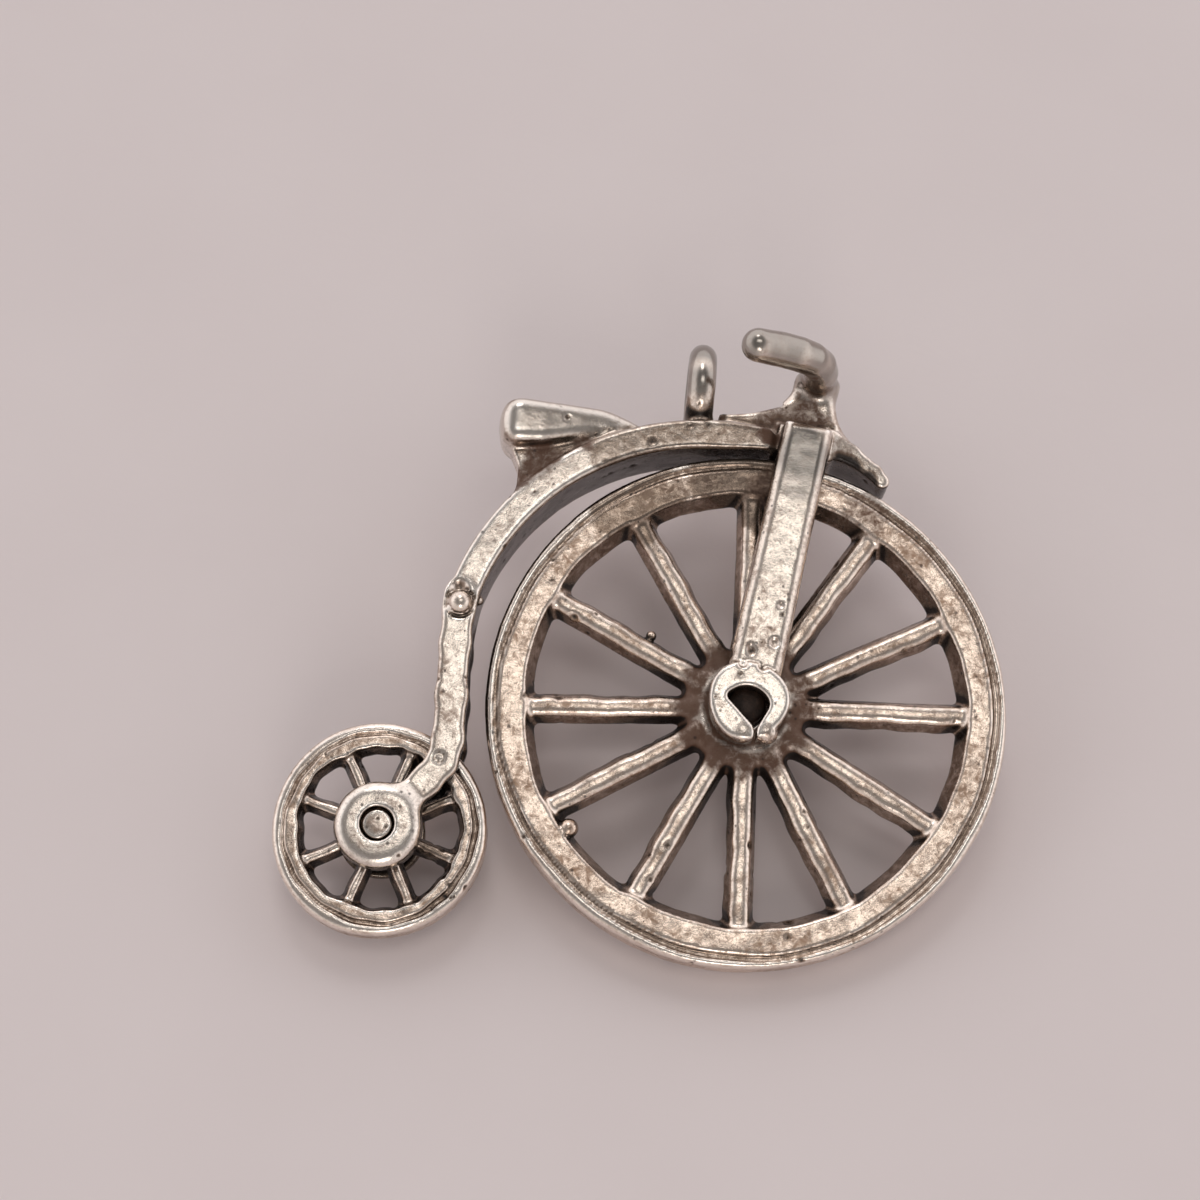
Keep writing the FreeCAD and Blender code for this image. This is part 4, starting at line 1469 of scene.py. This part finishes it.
        def ring(x: Array, y: Array, z: Array) -> Array:
            """Both rings, before they are opened.

            Args:
                x: Places' first coordinate.
                y: Their second.
                z: Their third.

            Returns:
                Their distances from its surface.
            """
            forward, up = self.up_fork(x, y)
            away = np.hypot(forward, up)
            wave = 0.04 * np.sin(3 * np.arctan2(up, forward) + 0.6)
            cheek = shared(away - self.eye - wave, np.abs(z) - outer, 0.16)
            return np.maximum(cheek, inner + 0.01 - np.abs(z))

        def ends(x: Array, y: Array, z: Array) -> Array:
            """Each ring's two swollen ends.

            Args:
                x: Places' first coordinate.
                y: Their second.
                z: Their third.

            Returns:
                Their distances from its surface.
            """
            forward, up = self.up_fork(x, y)
            left = ball(forward, up, np.abs(z), (0.02, -1.0, outer - 0.34), 0.36)
            right = ball(forward, up, np.abs(z), (0.8, -0.86, outer - 0.34), 0.36)
            return np.maximum(np.minimum(left, right), inner + 0.01 - np.abs(z))

        def hole(x: Array, y: Array, z: Array) -> Array:
            """The hole, squeezed to a rounded triangle.

            Args:
                x: Places' first coordinate.
                y: Their second.
                z: Their third.

            Returns:
                Their distances from the hole.
            """
            forward, up = self.up_fork(x, y)
            behind = -0.583 * (forward + 0.72) - 0.812 * (up + 0.05)
            before = 0.944 * (forward - 0.72) - 0.331 * (up + 0.05)
            over = np.hypot(forward, up + 0.35) - 0.8
            return shared(shared(behind, before, 0.12), over, 0.16)

        def slit(x: Array, y: Array, z: Array) -> Array:
            """The slit between the ends.

            Args:
                x: Places' first coordinate.
                y: Their second.
                z: Their third.

            Returns:
                Their distances from the slit.
            """
            forward, up = self.up_fork(x, y)
            wander = 0.03 * np.sin(up * 7)
            return run(forward + wander, up, [tip, foot], [0.05, 0.03])

        casting.cut(*box, lambda x, y, z: np.hypot(*self.up_fork(x, y)) - 1.0)
        casting.add(*box, ring, 0.06)
        casting.add(*box, ends, 0.1)
        casting.cut(*box, hole, 0.1)
        casting.cut(*box, slit, 0.07)
        for forward, up, reach in ((-0.42, 1.12, 0.16), (0.22, 1.18, 0.17), (-0.05, 1.3, 0.1)):
            casting.cut(*box, lambda x, y, z, f=forward, u=up, r=reach: ball(
                *self.up_fork(x, y), np.abs(z), (f, u, outer + 0.03), r), 0.06)

    def _stem(self, casting: Casting) -> None:
        """The handlebar's stem, which sweeps out to the backbone behind and the spoon before.

        Args:
            casting: The casting that it is run into.
        """
        top = self.fork_top

        def shape(x: Array, y: Array, z: Array) -> Array:
            """The stem, flared at its foot.

            Args:
                x: Places' first coordinate.
                y: Their second.
                z: Their third.

            Returns:
                Their distances from its surface.
            """
            forward, up = self.up_fork(x, y)
            behind = 0.58 + 1.12 * np.exp(-1.8 * (np.maximum(up, top) - top - 0.42))
            before = 0.6 + 0.5 * np.exp(-1.6 * (np.maximum(up, top) - top - 0.45))
            sides = np.maximum(-forward - behind, forward - before) * 0.75
            ends = np.maximum(up - top - self.stem_height, top - 0.5 - up)
            return slab(shared(sides, ends, 0.1), z, 0.62, 0.3)

        ends = [self.from_fork(-2, top - 0.6, -0.6), self.from_fork(1.5, top + 2.0, 0.6)]
        casting.add(*around(ends, 1.4), shape, 0.3)

    def _handlebar(self, casting: Casting) -> None:
        """A round bar, bent back on each side to a rounded tip; the left arm droops.

        Args:
            casting: The casting that it is run into.
        """
        height = self.fork_top + self.stem_height
        back, out = self.bar_out
        for side in Side:
            tip_drop = self.bar_drops[side]
            sag = 0.0 if side is Side.RIGHT else tip_drop / 3
            bends = [(0.0, 0.0, 0.0), (0.0, sag * 0.6, 0.36), (0.06, sag, 0.54),
                     (0.2, sag + (tip_drop - sag) * 0.2, 0.7),
                     (0.4, sag + (tip_drop - sag) * 0.36, 0.8),
                     (0.65, sag + (tip_drop - sag) * 0.57, 0.88), (1.0, tip_drop, 1.0)]
            points = [self.from_fork(-f * back, height - drop, side.value * z * out)
                      for f, drop, z in bends]
            radii = [0.58, 0.56, 0.55, 0.56, 0.57, 0.57, 0.55]
            fillet = 0.5 if side is Side.RIGHT else 0.2
            casting.add(*around(points, 1.6),
                        lambda x, y, z, p=points, r=radii: wire(x, y, z, p, r), fillet)

    def _spoon(self, casting: Casting) -> None:
        """The brake spoon, which bows over the tyre to a rounded tip.

        Args:
            casting: The casting that it is run into.
        """
        path = [(0.8, 9.25), (1.55, 9.08), (2.45, 8.68), (2.76, 8.44)]

        def shape(x: Array, y: Array, z: Array) -> Array:
            """The spoon, narrower towards its tip.

            Args:
                x: Places' first coordinate.
                y: Their second.
                z: Their third.

            Returns:
                Their distances from its surface.
            """
            forward, up = self.up_fork(x, y)
            flat = run(forward, up, path, [0.5, 0.33, 0.26, 0.25], 0.15)
            flat = shared(flat, self.tyre + 0.22 - np.hypot(x, y), 0.05)
            return slab(flat, z, 0.95 - 0.08 * (forward - 0.9), 0.12)

        box = around([self.from_fork(*path[0], -0.9), self.from_fork(*path[-1], 0.9)], 1.7)
        casting.add(*box, shape, 0.25)

    def _saddle(self, casting: Casting) -> None:
        """A pear-shaped saddle, thick behind, on a web that stands on the backbone.

        Args:
            casting: The casting that it is run into.
        """
        cx, cy = self.arc_centre

        def seat(x: Array, y: Array, z: Array) -> Array:
            """The seat, whose nose bends down.

            Args:
                x: Places' first coordinate.
                y: Their second.
                z: Their third.

            Returns:
                Their distances from its surface.
            """
            along = np.clip((x + 8.85) / 5.0, 0, 1)
            half = 1.36 - 0.82 * along ** 1.3
            top = 9.62 - 0.55 * np.clip(along - 0.66, 0, 1) ** 1.5 / 0.2
            under = 8.0 + 0.12 * np.clip(x + 8.3, 0, None) + 0.13 * np.clip(x + 7.4, 0, None)
            d = shared(y - top, under - y, 0.25)
            d = shared(d, np.abs(z) - half, 0.5)
            d = shared(d, -8.85 - x, 0.8)
            return shared(d, x + 3.65, 0.4)

        def web(x: Array, y: Array, z: Array) -> Array:
            """The web under it.

            Args:
                x: Places' first coordinate.
                y: Their second.
                z: Their third.

            Returns:
                Their distances from its surface.
            """
            back = -8.38 + 0.3 * rise(8.1 - y, 0, 0.9) - x
            flat = shared(shared(back, x + 4.9, 0.1), y - 9.0, 0.1)
            flat = shared(flat, self.arc - 0.2 - np.hypot(x - cx, y - cy), 0.05)
            return slab(flat, z, 0.72, 0.12)

        box = around([(-8.85, 6.2, -1.4), (-3.6, 9.6, 1.4)], 1.5)
        casting.add(*box, web, 0.3)
        casting.add(*box, seat, 0.22)

    def _bail(self, casting: Casting) -> None:
        """A drilled ring that stands across the backbone.

        Args:
            casting: The casting that it is run into.
        """
        cx, cy = self.arc_centre
        crest = cy + math.sqrt((self.arc + self.bar_width) ** 2 - (self.bail_x - cx) ** 2)
        height = crest + self.bail_ring + self.bail_wire - 0.15

        def shape(x: Array, y: Array, z: Array) -> Array:
            """The ring, thinner towards its foot.

            Args:
                x: Places' first coordinate.
                y: Their second.
                z: Their third.

            Returns:
                Their distances from its surface.
            """
            ring = np.hypot(y - height, z) - self.bail_ring
            thick = self.bail_wire + 0.05 * np.clip(height - 0.6 - y, 0, 1)
            return np.hypot(ring, x - self.bail_x) - thick

        spot = (self.bail_x, height, 0.0)
        casting.add(*around([spot], 2.8), shape, 0.25)
        casting.cut(*around([spot], 2.8),
                    lambda x, y, z: np.hypot(y - height, z) - self.bail_hole, 0.1)

    def _marks(self, casting: Casting) -> None:
        """A crater on the right leg's knee and a burr under the backbone.

        Args:
            casting: The casting that it is run into.
        """
        knee = (self.rear_axle[0] + 1.69, self.rear_axle[1] + 2.32, self.bar_deep + 0.03)
        casting.cut(*around([knee], 0.9), lambda x, y, z: np.hypot(
            np.hypot(x - knee[0], y - knee[1]) - 0.14, z - knee[2]) - 0.05, 0.04)
        burr = (*self.on_arc(self.knuckle - 4.5, -0.52), 0.75)
        casting.add(*around([burr], 0.8), lambda x, y, z: ball(x, y, z, burr, 0.15), 0.1)

    def patches(self) -> list[Patch]:
        """Where the frame has kept its dirt or its polish, where shade is painted on the brake
        spoon, and where the backbone's top is darkened.

        Returns:
            The patches, in the order that they are painted in.
        """
        top = self.fork_top
        bar = self.fork_top + self.stem_height
        back, out = self.bar_out
        dirty = [(self.from_fork(-0.2, top + 0.35, 0.6), 1.0, 0.6),
                 (self.from_fork(-0.2, top + 1.1, 0.6), 0.7, 0.4),
                 (self.from_fork(-1.3, top + 0.1, 0.6), 0.8, 0.6),
                 (self.from_fork(-1.15, top - 0.6, 1.1), 0.55, 0.75),
                 (self.from_fork(1.3, top - 0.3, 0.7), 0.6, 0.5),
                 ((-7.3, 7.45, 0.75), 0.95, 0.7), ((-7.9, 6.8, 0.75), 0.8, 0.7),
                 ((-5.9, 8.1, 0.75), 0.7, 0.6)]
        dirty += [(self.from_fork(-f * back, bar - 0.45 - drop, z * out), 0.5, 0.6)
                  for f, drop, z in ((0.2, 0.05, 0.6), (0.5, 0.15, 0.75), (0.8, 0.3, 0.85))]
        # Painted shade on the brake spoon's near side, and darker patches along the top of the
        # backbone's right face.
        black = [(self.from_fork(1.5, 8.45, 0.8), 0.75, 0.8),
                 (self.from_fork(2.2, 8.2, 0.8), 0.55, 0.75)]
        black += [((*self.on_arc(angle), self.bar_deep), 1.5, 0.4) for angle in (84, 94, 104, 115)]
        bright = [((-8.0, 9.6, 0.0), 2.0, 0.35), ((-6.4, 9.7, 0.0), 1.9, 0.35),
                  ((-5.0, 9.6, 0.0), 1.6, 0.35),
                  ((self.bail_x, 11.7, 0.0), 2.3, 0.9), ((self.bail_x, 9.8, 0.0), 1.1, 0.8),
                  (self.from_fork(0.0, top - 1.1, self.blade_out), 1.2, 0.8),
                  (self.from_fork(0.0, top - 2.2, self.blade_out), 0.7, 0.5)]
        for side in Side:
            bright += [(self.from_fork(-f * back, bar + 0.5 - drop, side.value * z * out), 1.4, 0.8)
                       for f, drop, z in ((0.0, 0.0, 0.0), (0.0, 0.1, 0.3), (0.1, 0.1, 0.55),
                                          (0.3, 0.15, 0.75), (0.6, 0.3, 0.85), (0.9, 0.5, 0.95),
                                          (1.2, 0.6, 1.0))]
        made = []
        for mark, spots in ((Mark.GRIME, dirty), (Mark.TARNISH, black), (Mark.POLISH, bright)):
            made += [Patch(mark, place, reach, amount) for place, reach, amount in spots]
        return made

    def make(self, finish: bpy.types.Material, pits: Pitting, seed: int) -> bpy.types.Object:
        """Builds the frame's piece.

        Args:
            finish: The frame's material.
            pits: The pits in its surface.
            seed: Number that its unevenness is drawn from.

        Returns:
            The frame's object.
        """
        casting = Casting((-13.4, -7.1, -4.9), (4.9, 12.8, 4.9), self.pitch)
        for build in (self._backbone, self._rear_fork, self._step, self._front_fork,
                      self._front_eyes, self._stem, self._spoon, self._saddle, self._bail,
                      self._handlebar, self._marks):
            build(casting)
        skin = casting.skin(self.wheels)
        lumps = Lumps(seed)
        for patch in self.patches():
            patch.paint(skin, lumps)
        skin.marks[Mark.TARNISH] *= 1 - 0.45 * skin.marks[Mark.POLISH]
        skin.roughen(lumps, 0.013, 0.0055)
        pits.carve(skin, seed)
        kept = ["backbone", "rear_fork_bridge", "mounting_step", "crown", "handlebar_stem",
                "brake_spoon", "saddle", "saddle_bracket", "bail"]
        for word in ("fork_blade", "fork_eye", "handlebar", "rear_fork_leg", "rear_fork_eye"):
            kept += [f"{word}_{side.name.lower()}" for side in Side]
        return put("frame_casting", skin, self.charm, "frame", finish, kept)


# --- studio -------------------------------------------------------------------------------


@dataclass(frozen=True)
class Softbox:
    """A flat lamp that faces the charm, with one pair of edges along the bicycle."""

    name: str
    way: Triple
    distance: float
    wide: float
    deep: float
    power: float
    colour: str

    def hang(self, charm: CharmFrame, centre: Vector) -> None:
        """Hangs the lamp some way off the charm, in a direction of the charm's own.

        Args:
            charm: The charm's frame.
            centre: The place that the lamp faces, in metres.
        """
        light = bpy.data.lights.new(self.name, "AREA")
        light.shape = "RECTANGLE"
        light.size, light.size_y = self.wide, self.deep
        light.energy = self.power
        light.color = linear(self.colour)[:3]
        lamp = bpy.data.objects.new(self.name, light)
        away = charm.direction(self.way)
        up = away.cross(charm.direction((1.0, 0.0, 0.0))).normalized()
        turn = Matrix((up.cross(away), up, away)).transposed()
        lamp.matrix_world = Matrix.Translation(centre + away * self.distance) @ turn.to_4x4()
        bpy.context.scene.collection.objects.link(lamp)


@dataclass
class Studio:
    """Floor, room, lamps and camera."""

    charm: CharmFrame
    centre: Vector
    floor_size: float = 1.6
    overhead: str = "#7b7877"
    low: str = "#fffafa"
    near: str = "#c8c0bd"
    strength: float = 1.14
    lamps: tuple[Softbox, ...] = (
        Softbox("window", (-0.12, 0.7, 0.7), 0.30, 0.08, 0.08, 0.07, "#fffdfb"),
        Softbox("ceiling", (0.05, 0.205, 0.977), 0.35, 0.15, 0.076, 0.067, "#fffcf8"),
        Softbox("doorway", (0.1, -0.72, 0.7), 0.30, 0.10, 0.10, 0.10, "#fff8f2"),
    )

    def floor(self) -> None:
        """Rolls out the paper under the charm, a hair below its lowest place."""
        half, steps = self.floor_size / 2, 48
        ticks = [half * (2 * i / steps - 1) for i in range(steps + 1)]
        points = [(x, y, -0.00002) for y in ticks for x in ticks]
        faces = [(r * (steps + 1) + c, r * (steps + 1) + c + 1, (r + 1) * (steps + 1) + c + 1,
                  (r + 1) * (steps + 1) + c) for r in range(steps) for c in range(steps)]
        mesh = bpy.data.meshes.new("studio_paper")
        mesh.from_pydata(points, [], faces)
        mesh.materials.append(StudioPaper().material())
        sheet = bpy.data.objects.new("studio_paper", mesh)
        bpy.context.scene.collection.objects.link(sheet)
        sheet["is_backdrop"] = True

    def room(self) -> None:
        """Lights the room as an overcast day does: brighter low down than overhead."""
        world = bpy.data.worlds.new("studio_room")
        world.use_nodes = True
        tree = world.node_tree
        way = add_node(tree, "ShaderNodeTexCoord").outputs["Generated"]
        raised, beyond = (add_node(tree, "ShaderNodeVectorMath", {
            0: way, 1: tuple(self.charm.direction(axis))}, operation="DOT_PRODUCT")
            .outputs["Value"] for axis in ((0.0, 0.0, 1.0), (0.0, 1.0, 0.0)))
        high = add_node(tree, "ShaderNodeMapRange", {
            0: raised, 1: 0.45, 2: 0.85, 3: 0.0, 4: 1.0},
            interpolation_type="SMOOTHSTEP").outputs[0]
        far = add_node(tree, "ShaderNodeMapRange", {
            0: beyond, 1: -0.7, 2: 0.1, 3: 0.0, 4: 1.0}).outputs[0]
        shade = add_node(tree, "ShaderNodeMix", {
            0: far, 6: linear(self.near), 7: linear(self.low)}, data_type="RGBA").outputs[2]
        shade = add_node(tree, "ShaderNodeMix", {
            0: high, 6: shade, 7: linear(self.overhead)}, data_type="RGBA").outputs[2]
        tree.links.new(shade, tree.nodes["Background"].inputs["Color"])
        tree.nodes["Background"].inputs["Strength"].default_value = self.strength
        bpy.context.scene.world = world

    def lights(self) -> None:
        """Hangs the softboxes."""
        for lamp in self.lamps:
            lamp.hang(self.charm, self.centre)

    def camera(self) -> None:
        """Stands the camera over the charm, a little towards its wheels' side."""
        data = bpy.data.cameras.new("camera")
        data.lens = 72.0
        data.sensor_width = 36.0
        data.clip_start = 0.005
        camera = bpy.data.objects.new("camera", data)
        right = self.charm.direction((0.9957, 0.0897, 0.0235))
        back = self.charm.direction((0.0, -0.2536, 0.9673))
        up = back.cross(right).normalized()
        right = up.cross(back)
        turn = Matrix((right, up, back)).transposed().to_4x4()
        turn.translation = Vector(self.charm.outward(np.array((-4.99, -16.69, 76.03))))
        camera.matrix_world = turn
        bpy.context.scene.collection.objects.link(camera)
        bpy.context.scene.camera = camera


def main() -> None:
    """Builds the charm and its studio, and reports each piece."""
    logging.basicConfig(level=logging.INFO, format="%(name)s: %(message)s")
    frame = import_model()
    cad_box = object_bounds()
    charm = CharmFrame.from_joints(frame["joints"])
    wheel_silver = CastSilver("wheel_cast_silver", face="#f1dece", film="#94755f").material()
    frame_silver = CastSilver("frame_cast_silver", clean=0.05).material()
    pin_silver = CastSilver("pin_drawn_silver").material()
    front = WheelCasting.from_frame(charm, End.FRONT, SpokeSize(0.47, 0.27, 0.57), 0.083, 0.1)
    front.beads = ((3.88, 146.1, 0.1, 0.17), (6.92, 219.8, 0.4, 0.32))
    front.patches = (Patch(Mark.GRIME, front.spot(7.4, 84, 0.7), 1.5, 0.6),
                     Patch(Mark.GRIME, front.spot(7.6, 64, 0.7), 1.2, 0.5),
                     Patch(Mark.GRIME, front.spot(7.7, 108, 0.7), 1.6, 0.4),
                     # Painted shadow of the backbone across the top of the rim.
                     Patch(Mark.TARNISH, front.spot(7.6, 95, 0.7), 2.2, 0.55),
                     Patch(Mark.TARNISH, front.spot(7.6, 122, 0.7), 2.0, 0.45))
    front.make(charm, wheel_silver, Pitting(160, 0.1, 0.26, 0.34), SEED)
    rear = WheelCasting.from_frame(charm, End.REAR, SpokeSize(0.29, 0.12, 0.47), 0.06, 0.08)
    rear.patches = (Patch(Mark.TARNISH, rear.spot(1.7, 0, 0.0), 1.4, 0.5),)
    rear.make(charm, wheel_silver, Pitting(60, 0.09, 0.2, 0.34), SEED + 10)
    PinEnds.from_frame(charm, "front_axle", "front_wheel", 0.12, 0.9).make(
        charm, pin_silver, SEED + 20)
    PinEnds.from_frame(charm, "rear_axle_rivet", "frame", 0.03, 0.1).make(
        charm, pin_silver, SEED + 30)
    FrameCasting.from_frame(charm).make(frame_silver, Pitting(150, 0.1, 0.22, 0.3), SEED + 40)
    low, high = (Vector(corner) for corner in cad_box)
    studio = Studio(charm, (low + high) / 2)
    studio.floor()
    studio.room()
    studio.lights()
    studio.camera()
    bpy.context.scene.view_settings.view_transform = "Standard"


if __name__ == "__main__":
    main()
